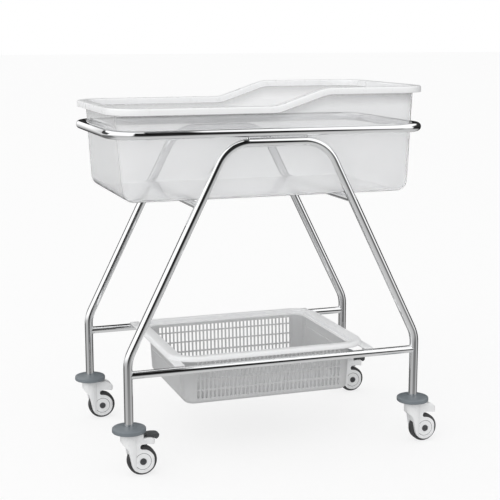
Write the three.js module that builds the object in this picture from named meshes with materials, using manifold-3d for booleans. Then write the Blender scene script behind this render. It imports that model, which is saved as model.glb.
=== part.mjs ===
// Hospital bassinet: a chrome tube stand on four casters that carries a lift-out tub and a lift-out basket.
// Millimetres, +Z up, +X towards the head end (the end with the raised rim), the floor at Z = 0.
import * as THREE from 'three';
import { mergeVertices } from 'three/addons/utils/BufferGeometryUtils.js';
import Module from 'manifold-3d';

const wasm = await Module();
wasm.setup();

// Gaps between pieces
const WELD_GAP = 0.3;
const SEAT_GAP = 0.3;
const RUNNING_GAP = 0.35;

// Stand: tube sizes and the places of tube axes
const TUBE_DIAMETER = 25;
const TUBE_WALL = 1.5;
const TUBE_SIDES = 12;
const BEND_STEPS_PER_RIGHT_ANGLE = 6;
const FRAME_HALF_WIDTH = 262.4;
const LEG_HALF_SPAN = 428;
const TOP_BAR_HALF_SPAN = 141;
const LOWER_CORNER_Z = 325.5;
const LEG_BEND_RADIUS = 100;
const RING_Z = 927.5;
const RING_HALF_LENGTH = 454;
const RING_CORNER_RADIUS = 90;
const VENT_HOLE_DIAMETER = 6;
const POST_GAP = 2;
const POST_DIAMETER = 12;
const POST_HALF_SPACING = 85;
const RAIL_DIAMETER = 22;
const RAIL_Z = 282;
const CROSS_TUBE_DIAMETER = 19;
const CROSS_TUBE_Z = 733;

// Tub and its white rim
const TUB_WALL = 4;
const TUB_SIDE_CLEARANCE = 6.1;
const TUB_END_CLEARANCE = 9.9;
const TUB_DRAFT_DEGREES = 4;
const TUB_CORNER_RADIUS_AT_RING = 60;
const TUB_CORNER_RADIUS_AT_FLOOR = 32;
const TUB_FLOOR_FILLET = 30;
const RIM_WALL = 3;
const RIM_LIP = 18;
const RIM_OVERHANG = 25;
const RIM_LOW_ABOVE_RING = 70;
const RIM_STEP = 47;
const RIM_SLOPE_START_X = 0;
const RIM_SLOPE_END_X = 143;
const RIM_KINK_BLEND = 16;
const RIM_CORNER_STEPS = 6;

// Basket on the lower rails
const BASKET_WALL = 2.5;
const BASKET_HALF_LENGTH = 297.5;
const BASKET_DEPTH = 146.6;
const BASKET_END_FLANGE = 34;
const BASKET_SIDE_FLANGE = 24.3;
const BASKET_FLANGE_THICKNESS = 3;
const BASKET_FLANGE_SETBACK = 20.2;
const BASKET_FLANGE_CORNER_RADIUS = 82;
const BASKET_FLANGE_CORNER_STEPS = 8;
const BASKET_LIP = 13;
const BASKET_LIP_WALL = 3;
const BASKET_LIP_ABOVE_LUG = 1.8;
const BASKET_COLLAR_DEPTH = 12;
const BASKET_LEDGE = 8;
const BASKET_WALL_TAPER = 6;
const BASKET_CORNER_RADIUS = 30;
const BASKET_FLOOR_FILLET = 12;
const LUG_LENGTH = 28;
const LUG_THICKNESS = 4.4;
const LUG_ROOT = 6;
const LUG_TAB_DROP = 9;
const LUG_TAB_WIDTH = 7;
const LUG_OVERREACH = 1.6;
const SLOT_PITCH = 24.4;
const SLOT_BAR = 9;
const SLOT_FIELD_HALF_LENGTH = 219;
const SLOT_ROWS = [[21.5, 40.5], [44.5, 72.5], [76.5, 103.5], [108.5, 130.5]];

// Casters: sizes of the wheel, housing, bumper and stem
const WHEEL_RADIUS = 41;
const WHEEL_SIDES = 20;
const TYRE_WIDTH = 25;
const TYRE_INNER_RADIUS = 30;
const TYRE_SHOULDER = 4;
const HUB_WEB_WIDTH = 12;
const HUB_RIM_WALL = 4;
const HUB_BOSS_RADIUS = 11;
const TRAIL = 34;
const HOUSING_WIDTH = 36;
const SIDE_PLATE_SETBACK = 8;
const WHEEL_SLOT_GAP = 2.4;
const WHEEL_SIDE_GAP = 1;
const HUB_END_GAP = 0.3;
const HOOD_GAP = 7.5;
const HOOD_REACH = 36;
const HOOD_NOSE_ROUND = 10;
const THROAT_BEHIND_STEM = 7;
const THROAT_BELOW_WHEEL_TOP = 4;
const THROAT_CURVE_IN = 3;
const THROAT_CURVE_DROP = 10;
const COLLAR_RADIUS = 24.5;
const COLLAR_HEIGHT = 18;
const COLLAR_ABOVE_WHEEL = 36;
const COLLAR_EDGE = 0.5;
const AXLE_RADIUS = 4;
const AXLE_SIDES = 12;
const AXLE_CAP_SIDES = 16;
const AXLE_CAP_RADIUS = 9.4;
const AXLE_CAP_THICKNESS = 2.6;
const STEM_RADIUS = 6;
const STEM_DEPTH_IN_HOUSING = 22;
const STEM_SIDES = 16;
const BUMPER_RADIUS = 46.5;
const BUMPER_SIDES = 20;
const BUMPER_HEIGHT = 22;
const BUMPER_EDGE_LOW = 8;
const BUMPER_EDGE_HIGH = 17;
const BUMPER_EDGE_ROUND = 3.5;
const LEG_SOCKET_FLOOR = 9;
const INSERT_LENGTH = 50;

// Curves of the hood's outline, each a handle and an end: back from the nose, above the hood's underside
const HOOD_UNDERSIDE_CURVE = [[20, 2], [7, -2.5]];
const HOOD_NOSE_CURVE = [[-1, -1.5], [0, 8.5]];
const HOOD_TOP_CURVE = [[4.5, 21], [24, 27.5]];

// Brake pedal of a braked caster, measured from the stem axis and from the top of the wheel
const PEDAL_REACH = 83.5;
const PEDAL_HALF_WIDTH = 15;
const PEDAL_ARM_HALF_WIDTH = 8;
const PEDAL_PIVOT_X = 27;
const PEDAL_PIVOT_ABOVE_WHEEL = 23;
const PEDAL_BOSS_RADIUS = 5.5;
const PEDAL_PIN_RADIUS = 2.5;
const PEDAL_PLATE_X = 38.5;
const PEDAL_PLATE_ROUND = 10;
const PEDAL_ARM_LOW = 24;
const PEDAL_ARM_HIGH = 34;
const PEDAL_GAP = 1;
// Room behind the foot plate for its upper edge, which swings back as the pedal lifts
const PEDAL_LIFT_GAP = 2.4;
const SHOE_LENGTH = 10;
const SHOE_SWING = 6;
// Curves of the pedal's outline, each a handle and an end: back from the tip, above the wheel
const PEDAL_UNDERSIDE_CURVE = [[25.5, 30], [12, 17.2]];
const PEDAL_TIP_CURVE = [[3.5, 21], [0, 30.5]];
const PEDAL_TOP_CURVE = [[0.5, 37], [16.5, 38.8]];
const PEDAL_CREST_CURVE = [[30.5, 40.5], [39.5, 37]];

// Values worked out from the driving dimensions
const TUBE_RADIUS = TUBE_DIAMETER / 2;
const TUBE_BORE_RADIUS = TUBE_RADIUS - TUBE_WALL;
// The tube's bore has flats, so what slides into it is round inside those flats
const INSERT_RADIUS = TUBE_BORE_RADIUS * Math.cos(Math.PI / TUBE_SIDES) - SEAT_GAP;
const TOP_BAR_Z = RING_Z - TUBE_DIAMETER - POST_GAP;
const LEG_SLOPE = (TOP_BAR_Z - LOWER_CORNER_Z) / (LEG_HALF_SPAN - TOP_BAR_HALF_SPAN);
const CROSS_TUBE_X = LEG_HALF_SPAN - (CROSS_TUBE_Z - LOWER_CORNER_Z) / LEG_SLOPE;
const TUB_FLOOR_Z = CROSS_TUBE_Z + CROSS_TUBE_DIAMETER / 2 + SEAT_GAP;
const TUB_HALF_LENGTH_AT_RING = RING_HALF_LENGTH - TUBE_RADIUS - TUB_END_CLEARANCE;
const TUB_HALF_WIDTH_AT_RING = FRAME_HALF_WIDTH - TUBE_RADIUS - TUB_SIDE_CLEARANCE;
const TUB_DRAFT = Math.tan(THREE.MathUtils.degToRad(TUB_DRAFT_DEGREES));
const TUB_CORNER_GROWTH = (TUB_CORNER_RADIUS_AT_RING - TUB_CORNER_RADIUS_AT_FLOOR) / (RING_Z - TUB_FLOOR_Z);
const RIM_LOW_Z = RING_Z + RIM_LOW_ABOVE_RING;
const RIM_HIGH_Z = RIM_LOW_Z + RIM_STEP;
const RIM_HALF_LENGTH = tubHalf(TUB_HALF_LENGTH_AT_RING, RIM_LOW_Z) + RIM_OVERHANG;
const RIM_HALF_WIDTH = tubHalf(TUB_HALF_WIDTH_AT_RING, RIM_LOW_Z) + RIM_OVERHANG;
const RIM_CORNER_RADIUS = tubCornerRadius(RIM_LOW_Z) + RIM_OVERHANG;
const RAIL_TOP_Z = RAIL_Z + RAIL_DIAMETER / 2;
const BASKET_LUG_Z = RAIL_TOP_Z + SEAT_GAP;
const BASKET_TOP_Z = BASKET_LUG_Z + BASKET_LIP_ABOVE_LUG + BASKET_LIP;
const BASKET_FLOOR_Z = BASKET_TOP_Z - BASKET_DEPTH;
const BASKET_HALF_WIDTH = FRAME_HALF_WIDTH - BASKET_FLANGE_SETBACK;
const AXLE_Z = WHEEL_RADIUS;
const WHEEL_TOP_Z = AXLE_Z + WHEEL_RADIUS;
const COLLAR_TOP_Z = WHEEL_TOP_Z + COLLAR_ABOVE_WHEEL;
const BUMPER_Z = COLLAR_TOP_Z + RUNNING_GAP;
const LEG_FOOT_Z = BUMPER_Z + LEG_SOCKET_FLOOR + SEAT_GAP;
const PEDAL_PIVOT_Z = WHEEL_TOP_Z + PEDAL_PIVOT_ABOVE_WHEEL;
const SHOE_HALF_WIDTH = PEDAL_ARM_HALF_WIDTH - PEDAL_GAP;
const SHOE_LOW_Z = AXLE_Z + WHEEL_RADIUS / Math.cos(Math.PI / WHEEL_SIDES) + RUNNING_GAP;
const AXLE_SEAT_Y = HOUSING_WIDTH / 2 + SEAT_GAP;
const AXLE_END_Y = AXLE_SEAT_Y + AXLE_CAP_THICKNESS / 2;
// The origin lies midway between the furthest piece at the foot end and the pedal tip at the head end
const FOOT_END_REACH = Math.max(RING_HALF_LENGTH + TUBE_RADIUS, LEG_HALF_SPAN + BUMPER_RADIUS);
const CENTRE_X = (LEG_HALF_SPAN + PEDAL_REACH - FOOT_END_REACH) / 2;

function tubHalf(halfAtRing, z) {
  return halfAtRing + (z - RING_Z) * TUB_DRAFT;
}

function tubCornerRadius(z) {
  return TUB_CORNER_RADIUS_AT_RING + (z - RING_Z) * TUB_CORNER_GROWTH;
}

// Solids: from three.js geometry to a closed manifold and back
function solid(geometry) {
  const plain = geometry.clone();
  plain.deleteAttribute('normal');
  plain.deleteAttribute('uv');
  const welded = mergeVertices(plain, 1e-4);
  const vertProperties = new Float32Array(welded.attributes.position.array);
  const triVerts = new Uint32Array(welded.index.array);
  return new wasm.Manifold(new wasm.Mesh({ numProp: 3, vertProperties, triVerts }));
}

function geometryOf(manifold) {
  const raw = manifold.getMesh();
  const geometry = new THREE.BufferGeometry();
  geometry.setAttribute('position', new THREE.BufferAttribute(new Float32Array(raw.vertProperties), 3));
  geometry.setIndex(new THREE.BufferAttribute(new Uint32Array(raw.triVerts), 1));
  return geometry;
}

function box(low, high) {
  const size = high.map((value, axis) => value - low[axis]);
  const geometry = new THREE.BoxGeometry(...size);
  geometry.translate(...low.map((value, axis) => value + size[axis] / 2));
  return solid(geometry);
}

// A round bar of the given radius between two points that differ along one axis
function bar(from, to, radius, sides) {
  const start = new THREE.Vector3(...from);
  const along = new THREE.Vector3(...to).sub(start);
  const geometry = new THREE.CylinderGeometry(radius, radius, along.length(), sides);
  geometry.translate(0, along.length() / 2, 0);
  const turn = new THREE.Quaternion().setFromUnitVectors(new THREE.Vector3(0, 1, 0), along.normalize());
  geometry.applyQuaternion(turn);
  geometry.translate(...from);
  return solid(geometry);
}

// A turned piece about the Z axis from (radius, z) points that close on themselves
function turnedAboutZ(profile, sides) {
  const points = profile.map(([radius, z]) => new THREE.Vector2(radius, z));
  points.push(points[0].clone());
  const geometry = new THREE.LatheGeometry(points, sides);
  geometry.rotateX(Math.PI / 2);
  return outward(geometry);
}

// A turned piece about the Y axis whose flats, not corners, touch the true radius
function turnedAboutY(profile, sides) {
  const grow = 1 / Math.cos(Math.PI / sides);
  const points = profile.map(([radius, y]) => new THREE.Vector2(radius * grow, y));
  points.push(points[0].clone());
  return outward(new THREE.LatheGeometry(points, sides, Math.PI / sides));
}

// Turns the faces of a lathe inside out where its profile ran the other way round
function outward(geometry) {
  const manifold = solid(geometry);
  if (manifold.volume() > 0) {
    return manifold;
  }
  const flipped = geometry.clone();
  const index = flipped.index;
  for (let corner = 0; corner < index.count; corner += 3) {
    const second = index.getX(corner + 1);
    index.setX(corner + 1, index.getX(corner + 2));
    index.setX(corner + 2, second);
  }
  return solid(flipped);
}

// An outline in X and Z, pushed along Y about a middle plane
function extrudedAlongY(shape, width, curveSegments) {
  const geometry = new THREE.ExtrudeGeometry(shape, { depth: width, bevelEnabled: false, curveSegments });
  geometry.rotateX(Math.PI / 2);
  geometry.translate(0, width / 2, 0);
  return solid(geometry);
}

// An outline in X and Y, pushed along Z between two heights
function extrudedAlongZ(shape, low, high, curveSegments) {
  const depth = high - low;
  const geometry = new THREE.ExtrudeGeometry(shape, { depth, bevelEnabled: false, curveSegments });
  geometry.translate(0, 0, low);
  return solid(geometry);
}

// A rounded rectangle as a list of points, counter-clockwise from above
function roundedRectangle(halfX, halfY, radius, cornerSteps) {
  const points = [];
  const corners = [[1, 1], [-1, 1], [-1, -1], [1, -1]];
  corners.forEach(([signX, signY], corner) => {
    for (let step = 0; step <= cornerSteps; step += 1) {
      const angle = (corner + step / cornerSteps) * Math.PI / 2;
      const x = signX * (halfX - radius) + radius * Math.cos(angle);
      const y = signY * (halfY - radius) + radius * Math.sin(angle);
      points.push(new THREE.Vector2(x, y));
    }
  });
  return points;
}

// A closed solid through a stack of level rings with as many points each
function loft(levels) {
  const count = levels[0].ring.length;
  const positions = levels.flatMap(({ ring, z }) => ring.flatMap((point) => [point.x, point.y, z]));
  const faces = [];
  for (let level = 0; level + 1 < levels.length; level += 1) {
    for (let side = 0; side < count; side += 1) {
      const a = level * count + side;
      const b = level * count + (side + 1) % count;
      faces.push(a, b, b + count, a, b + count, a + count);
    }
  }
  const top = (levels.length - 1) * count;
  for (const [a, b, c] of THREE.ShapeUtils.triangulateShape(levels[0].ring, [])) {
    faces.push(a, c, b);
  }
  for (const [a, b, c] of THREE.ShapeUtils.triangulateShape(levels.at(-1).ring, [])) {
    faces.push(top + a, top + b, top + c);
  }
  const geometry = new THREE.BufferGeometry();
  geometry.setAttribute('position', new THREE.Float32BufferAttribute(positions, 3));
  geometry.setIndex(faces);
  return solid(geometry);
}

// A path through given stations: straight runs need two, bends a few more
class StationPath extends THREE.Curve {
  constructor(stations) {
    super();
    this.stations = stations;
  }

  getPoint(t, target = new THREE.Vector3()) {
    const last = this.stations.length - 1;
    const place = THREE.MathUtils.clamp(t * last, 0, last);
    const index = Math.min(Math.floor(place + 1e-9), last - 1);
    return target.lerpVectors(this.stations[index], this.stations[index + 1], place - index);
  }

  getPointAt(u, target) {
    return this.getPoint(u, target);
  }

  getTangentAt(u, target = new THREE.Vector3()) {
    const last = this.stations.length - 1;
    const index = Math.round(u * last);
    const before = this.stations[Math.max(index - 1, 0)];
    const here = this.stations[index];
    const after = this.stations[Math.min(index + 1, last)];
    const arriving = here.clone().sub(before).normalize();
    const leaving = after.clone().sub(here).normalize();
    return target.copy(arriving).add(leaving).normalize();
  }
}

// Stations of a polyline whose inner corners are bent to a radius
function bentStations(corners, radius) {
  const stations = [corners[0]];
  for (let index = 1; index + 1 < corners.length; index += 1) {
    const corner = corners[index];
    const back = corners[index - 1].clone().sub(corner).normalize();
    const forth = corners[index + 1].clone().sub(corner).normalize();
    const turn = Math.PI - back.angleTo(forth);
    const tangent = radius * Math.tan(turn / 2);
    const inward = back.clone().add(forth).normalize();
    const centre = inward.multiplyScalar(radius / Math.cos(turn / 2)).add(corner);
    const start = back.clone().multiplyScalar(tangent).add(corner).sub(centre);
    const axis = back.clone().cross(start).normalize();
    const steps = Math.max(2, Math.round(turn / (Math.PI / 2) * BEND_STEPS_PER_RIGHT_ANGLE));
    for (let step = 0; step <= steps; step += 1) {
      stations.push(start.clone().applyAxisAngle(axis, turn * step / steps).add(centre));
    }
  }
  stations.push(corners.at(-1));
  return stations;
}

function sweptTube(stations, radius) {
  const section = new THREE.Shape();
  for (let side = 0; side < TUBE_SIDES; side += 1) {
    const angle = (side + 0.5) / TUBE_SIDES * Math.PI * 2;
    const point = [radius * Math.cos(angle), radius * Math.sin(angle)];
    if (side === 0) {
      section.moveTo(...point);
    } else {
      section.lineTo(...point);
    }
  }
  const steps = stations.length - 1;
  const options = { extrudePath: new StationPath(stations), steps, bevelEnabled: false, curveSegments: 1 };
  return solid(new THREE.ExtrudeGeometry(section, options));
}

// Stand
function sideFrameStations(y, footZ) {
  const corners = [
    [-LEG_HALF_SPAN, footZ],
    [-LEG_HALF_SPAN, LOWER_CORNER_Z],
    [-TOP_BAR_HALF_SPAN, TOP_BAR_Z],
    [TOP_BAR_HALF_SPAN, TOP_BAR_Z],
    [LEG_HALF_SPAN, LOWER_CORNER_Z],
    [LEG_HALF_SPAN, footZ],
  ];
  const points = corners.map(([x, z]) => new THREE.Vector3(x, y, z));
  return bentStations(points, LEG_BEND_RADIUS);
}

function sideFrame(y) {
  const outside = sweptTube(sideFrameStations(y, LEG_FOOT_Z), TUBE_RADIUS);
  const inside = sweptTube(sideFrameStations(y, LEG_FOOT_Z - TUBE_WALL), TUBE_BORE_RADIUS);
  return outside.subtract(inside);
}

// The full side frame with a clearance, for coping the tubes that are welded to it
function sideFrameCope(y) {
  return sweptTube(sideFrameStations(y, LEG_FOOT_Z), TUBE_RADIUS + WELD_GAP);
}

function ringHalf(side, radius) {
  const x = RING_HALF_LENGTH;
  const y = side * FRAME_HALF_WIDTH;
  const corners = [[-x, 0], [-x, y], [x, y], [x, 0]];
  const points = corners.map(([px, py]) => new THREE.Vector3(px, py, RING_Z));
  return sweptTube(bentStations(points, RING_CORNER_RADIUS), radius);
}

function closedRing(radius) {
  return ringHalf(1, radius).add(ringHalf(-1, radius));
}

function upperRing() {
  const ventZ = RING_Z - TUBE_RADIUS - TUBE_WALL;
  const vent = bar([0, FRAME_HALF_WIDTH, ventZ], [0, FRAME_HALF_WIDTH, RING_Z], VENT_HOLE_DIAMETER / 2, 8);
  return closedRing(TUBE_RADIUS).subtract(closedRing(TUBE_BORE_RADIUS)).subtract(vent);
}

function spacerPost(x, y) {
  const post = bar([x, y, TOP_BAR_Z], [x, y, RING_Z], POST_DIAMETER / 2, 10);
  return post.subtract(closedRing(TUBE_RADIUS + WELD_GAP)).subtract(sideFrameCope(y));
}

// A straight tube open at both ends
function openTube(from, to, radius) {
  const start = new THREE.Vector3(...from);
  const along = new THREE.Vector3(...to).sub(start).normalize();
  const early = start.clone().sub(along).toArray();
  const late = new THREE.Vector3(...to).add(along).toArray();
  return bar(from, to, radius, TUBE_SIDES).subtract(bar(early, late, radius - TUBE_WALL, TUBE_SIDES));
}

function lowerRail(y) {
  const rail = openTube([-LEG_HALF_SPAN, y, RAIL_Z], [LEG_HALF_SPAN, y, RAIL_Z], RAIL_DIAMETER / 2);
  return rail.subtract(sideFrameCope(y));
}

function crossTube(x) {
  const from = [x, -FRAME_HALF_WIDTH, CROSS_TUBE_Z];
  const to = [x, FRAME_HALF_WIDTH, CROSS_TUBE_Z];
  const tube = openTube(from, to, CROSS_TUBE_DIAMETER / 2);
  return tube.subtract(sideFrameCope(-FRAME_HALF_WIDTH)).subtract(sideFrameCope(FRAME_HALF_WIDTH));
}

// Tub: the drafted body at an inward offset, from its floor to a level above the rim
function tubBody(offset, floorZ, fillet) {
  const cornerSteps = 5;
  const filletSteps = 3;
  const ringAt = (z, inset) => {
    const halfX = tubHalf(TUB_HALF_LENGTH_AT_RING, z) - inset;
    const halfY = tubHalf(TUB_HALF_WIDTH_AT_RING, z) - inset;
    const radius = Math.max(tubCornerRadius(z) - inset, TUB_WALL);
    return { ring: roundedRectangle(halfX, halfY, radius, cornerSteps), z };
  };
  const levels = [];
  for (let step = 0; step <= filletSteps; step += 1) {
    const angle = step / filletSteps * Math.PI / 2;
    levels.push(ringAt(floorZ + fillet * (1 - Math.cos(angle)), offset + fillet * (1 - Math.sin(angle))));
  }
  levels.push(ringAt(RIM_HIGH_Z + RIM_LIP, offset));
  return loft(levels);
}

// The top line of the rim in X and Z, lowered by a depth
function rimLine(depth) {
  const reach = RIM_HALF_LENGTH * 2;
  const low = RIM_LOW_Z - depth;
  const high = RIM_HIGH_Z - depth;
  const rise = RIM_STEP / (RIM_SLOPE_END_X - RIM_SLOPE_START_X) * RIM_KINK_BLEND;
  const path = new THREE.Path();
  path.moveTo(-reach, low);
  path.lineTo(RIM_SLOPE_START_X - RIM_KINK_BLEND, low);
  path.quadraticCurveTo(RIM_SLOPE_START_X, low, RIM_SLOPE_START_X + RIM_KINK_BLEND, low + rise);
  path.lineTo(RIM_SLOPE_END_X - RIM_KINK_BLEND, high - rise);
  path.quadraticCurveTo(RIM_SLOPE_END_X, high, RIM_SLOPE_END_X + RIM_KINK_BLEND, high);
  path.lineTo(reach, high);
  return path.getPoints(4);
}

// The space between two depths under the rim's top line
function rimBand(upperDepth, lowerDepth) {
  const outline = rimLine(upperDepth).concat(rimLine(lowerDepth).reverse());
  return extrudedAlongY(new THREE.Shape(outline), RIM_HALF_WIDTH * 4, 1);
}

function tubShell() {
  const outside = tubBody(0, TUB_FLOOR_Z, TUB_FLOOR_FILLET);
  const inside = tubBody(TUB_WALL, TUB_FLOOR_Z + TUB_WALL, TUB_FLOOR_FILLET - TUB_WALL);
  const aboveEdge = rimBand(-RIM_STEP - RIM_LIP * 2, RIM_WALL + SEAT_GAP);
  return outside.subtract(inside).subtract(aboveEdge);
}

function rimPrism(inset) {
  const sizes = [RIM_HALF_LENGTH, RIM_HALF_WIDTH, RIM_CORNER_RADIUS].map((size) => size - inset);
  const outline = roundedRectangle(...sizes, RIM_CORNER_STEPS);
  return extrudedAlongZ(new THREE.Shape(outline), RIM_LOW_Z - RIM_LIP * 2, RIM_HIGH_Z + RIM_LIP, 1);
}

// An upside-down channel over the tub's edge: outer lip, flange and inner leg
function tubRim() {
  const legOffset = TUB_WALL + SEAT_GAP;
  const legOutside = tubBody(legOffset, TUB_FLOOR_Z + TUB_WALL, TUB_FLOOR_FILLET - TUB_WALL);
  const legInside = tubBody(legOffset + RIM_WALL, TUB_FLOOR_Z + TUB_WALL, TUB_FLOOR_FILLET - TUB_WALL);
  const channel = rimPrism(RIM_WALL).intersect(rimBand(RIM_WALL, RIM_LIP * 2)).subtract(legOutside);
  return rimPrism(0).intersect(rimBand(0, RIM_LIP)).subtract(legInside).subtract(channel);
}

// Basket
function basketRing(halfX, halfY, radius, z) {
  return { ring: roundedRectangle(halfX, halfY, radius, 3), z };
}

// The basket's cup at an inward offset: collar, ledge, tapered wall, floor fillet
function basketCup(offset, floorZ, topZ) {
  const collarX = BASKET_HALF_LENGTH - BASKET_END_FLANGE - offset;
  const collarY = BASKET_HALF_WIDTH - BASKET_SIDE_FLANGE - offset;
  const ledgeZ = BASKET_TOP_Z - BASKET_COLLAR_DEPTH + offset;
  const fillet = BASKET_FLOOR_FILLET - offset;
  const radius = BASKET_CORNER_RADIUS - offset;
  const wallX = collarX - BASKET_LEDGE;
  const wallY = collarY - BASKET_LEDGE;
  const lowX = wallX - BASKET_WALL_TAPER;
  const lowY = wallY - BASKET_WALL_TAPER;
  return loft([
    basketRing(lowX - fillet, lowY - fillet, radius - fillet / 2, floorZ),
    basketRing(lowX, lowY, radius, floorZ + fillet),
    basketRing(wallX, wallY, radius, ledgeZ - BASKET_WALL),
    basketRing(collarX, collarY, radius + BASKET_LEDGE, ledgeZ),
    basketRing(collarX, collarY, radius + BASKET_LEDGE, topZ),
  ]);
}

// The basket's flange with its turned-down lip, as an upside-down tray
function basketFlange() {
  const plate = (inset, low, high) => {
    const halfX = BASKET_HALF_LENGTH - inset;
    const halfY = BASKET_HALF_WIDTH - inset;
    const radius = BASKET_FLANGE_CORNER_RADIUS - inset;
    const ring = roundedRectangle(halfX, halfY, radius, BASKET_FLANGE_CORNER_STEPS);
    return extrudedAlongZ(new THREE.Shape(ring), low, high, 1);
  };
  const lipZ = BASKET_TOP_Z - BASKET_LIP;
  const channel = plate(BASKET_LIP_WALL, lipZ - BASKET_LIP, BASKET_TOP_Z - BASKET_FLANGE_THICKNESS);
  return plate(0, lipZ, BASKET_TOP_Z).subtract(channel);
}

// A strap from under a corner of the flange onto the rail, with a tab that drops inside the rail
function basketLug(signX, signY) {
  const railInside = FRAME_HALF_WIDTH - RAIL_DIAMETER / 2 - SEAT_GAP;
  const root = BASKET_HALF_WIDTH - BASKET_FLANGE_CORNER_RADIUS - LUG_ROOT;
  const topZ = BASKET_LUG_Z + LUG_THICKNESS;
  const span = (sign, from, to) => [sign * from, sign * to].sort((a, b) => a - b);
  const spanX = span(signX, BASKET_HALF_LENGTH - LUG_LENGTH, BASKET_HALF_LENGTH);
  const strapY = span(signY, root, FRAME_HALF_WIDTH + LUG_OVERREACH);
  const tabY = span(signY, railInside - LUG_TAB_WIDTH, railInside);
  const strap = box([spanX[0], strapY[0], BASKET_LUG_Z], [spanX[1], strapY[1], topZ]);
  const tab = box([spanX[0], tabY[0], BASKET_LUG_Z - LUG_TAB_DROP], [spanX[1], tabY[1], topZ]);
  return strap.add(tab);
}

// All slots of both long walls as one set of separate cutters
function basketSlots() {
  const columns = Math.floor(SLOT_FIELD_HALF_LENGTH * 2 / SLOT_PITCH);
  let cutters = null;
  for (let column = 0; column < columns; column += 1) {
    const x = (column - (columns - 1) / 2) * SLOT_PITCH;
    const half = (SLOT_PITCH - SLOT_BAR) / 2;
    for (const [upper, lower] of SLOT_ROWS) {
      const low = [x - half, -BASKET_HALF_WIDTH, BASKET_TOP_Z - lower];
      const high = [x + half, BASKET_HALF_WIDTH, BASKET_TOP_Z - upper];
      const slot = box(low, high);
      cutters = cutters ? cutters.add(slot) : slot;
    }
  }
  return cutters;
}

function basket() {
  let body = basketFlange();
  for (const signX of [-1, 1]) {
    for (const signY of [-1, 1]) {
      body = body.add(basketLug(signX, signY));
    }
  }
  body = body.add(basketCup(0, BASKET_FLOOR_Z, BASKET_TOP_Z));
  body = body.subtract(basketCup(BASKET_WALL, BASKET_FLOOR_Z + BASKET_WALL, BASKET_TOP_Z + BASKET_WALL));
  return body.subtract(basketSlots());
}

// Casters, about a stem axis at x = 0, y = 0 with the wheel trailing towards +X
function bumper() {
  const boreRadius = STEM_RADIUS + RUNNING_GAP;
  const socketRadius = TUBE_RADIUS + SEAT_GAP;
  const edge = BUMPER_EDGE_ROUND;
  const profile = [
    [boreRadius, 0],
    [COLLAR_RADIUS, 0],
    [BUMPER_RADIUS - edge, BUMPER_EDGE_LOW - edge / 2],
    [BUMPER_RADIUS, BUMPER_EDGE_LOW + edge / 2],
    [BUMPER_RADIUS, BUMPER_EDGE_HIGH - edge / 2],
    [BUMPER_RADIUS - edge, BUMPER_EDGE_HIGH + edge / 2],
    [socketRadius + edge, BUMPER_HEIGHT],
    [socketRadius, BUMPER_HEIGHT],
    [socketRadius, LEG_SOCKET_FLOOR],
    [boreRadius, LEG_SOCKET_FLOOR],
  ];
  return turnedAboutZ(profile.map(([radius, z]) => [radius, BUMPER_Z + z]), BUMPER_SIDES);
}

function stem() {
  const low = COLLAR_TOP_Z - STEM_DEPTH_IN_HOUSING + RUNNING_GAP;
  return bar([0, 0, low], [0, 0, LEG_FOOT_Z + INSERT_LENGTH], STEM_RADIUS, STEM_SIDES);
}

function legInsert() {
  const top = LEG_FOOT_Z + INSERT_LENGTH;
  const outside = bar([0, 0, LEG_FOOT_Z], [0, 0, top], INSERT_RADIUS, TUBE_SIDES);
  return outside.subtract(bar([0, 0, LEG_FOOT_Z - 1], [0, 0, top + 1], STEM_RADIUS + SEAT_GAP, STEM_SIDES));
}

// Adds a curve given as a handle and an end, each as a distance back from x and a height above z
function addCurve(outline, curve, x, z) {
  const [handle, end] = curve;
  outline.quadraticCurveTo(x - handle[0], z + handle[1], x - end[0], z + end[1]);
}

// Side outline of the housing: collar, throat, round side plate, window over the tyre and hood
function housingOutline() {
  const plateRadius = WHEEL_RADIUS - SIDE_PLATE_SETBACK;
  const hoodZ = WHEEL_TOP_Z + HOOD_GAP;
  const windowRadius = (hoodZ - AXLE_Z - plateRadius) / 2;
  const throat = new THREE.Vector2(-THROAT_BEHIND_STEM, WHEEL_TOP_Z - THROAT_BELOW_WHEEL_TOP);
  const collarLowZ = COLLAR_TOP_Z - COLLAR_HEIGHT;
  const away = new THREE.Vector2(throat.x - TRAIL, throat.y - AXLE_Z);
  const tangentAngle = away.angle() + Math.acos(plateRadius / away.length());
  const noseX = TRAIL + HOOD_REACH;
  const throatHandle = [THROAT_CURVE_IN - COLLAR_RADIUS, collarLowZ - THROAT_CURVE_DROP];
  const outline = new THREE.Shape();
  outline.moveTo(-COLLAR_RADIUS, COLLAR_TOP_Z);
  outline.lineTo(-COLLAR_RADIUS, collarLowZ);
  outline.quadraticCurveTo(...throatHandle, throat.x, throat.y);
  outline.absarc(TRAIL, AXLE_Z, plateRadius, tangentAngle, Math.PI * 2.5, false);
  outline.absarc(TRAIL, hoodZ - windowRadius, windowRadius, Math.PI * 1.5, Math.PI * 0.5, true);
  for (const curve of [HOOD_UNDERSIDE_CURVE, HOOD_NOSE_CURVE, HOOD_TOP_CURVE]) {
    addCurve(outline, curve, noseX, hoodZ);
  }
  outline.lineTo(COLLAR_RADIUS, COLLAR_TOP_Z - COLLAR_EDGE);
  outline.lineTo(COLLAR_RADIUS - COLLAR_EDGE, COLLAR_TOP_Z);
  return outline;
}

// Plan outline of the housing: round collar at the stem, flat sides, rounded nose
function housingPlan() {
  const half = HOUSING_WIDTH / 2;
  const angle = Math.asin(half / COLLAR_RADIUS);
  const noseX = TRAIL + HOOD_REACH;
  const plan = new THREE.Shape();
  plan.absarc(0, 0, COLLAR_RADIUS, angle, Math.PI * 2 - angle, false);
  plan.lineTo(noseX - HOOD_NOSE_ROUND, -half);
  plan.quadraticCurveTo(noseX, -half, noseX, 0);
  plan.quadraticCurveTo(noseX, half, noseX - HOOD_NOSE_ROUND, half);
  return plan;
}

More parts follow.
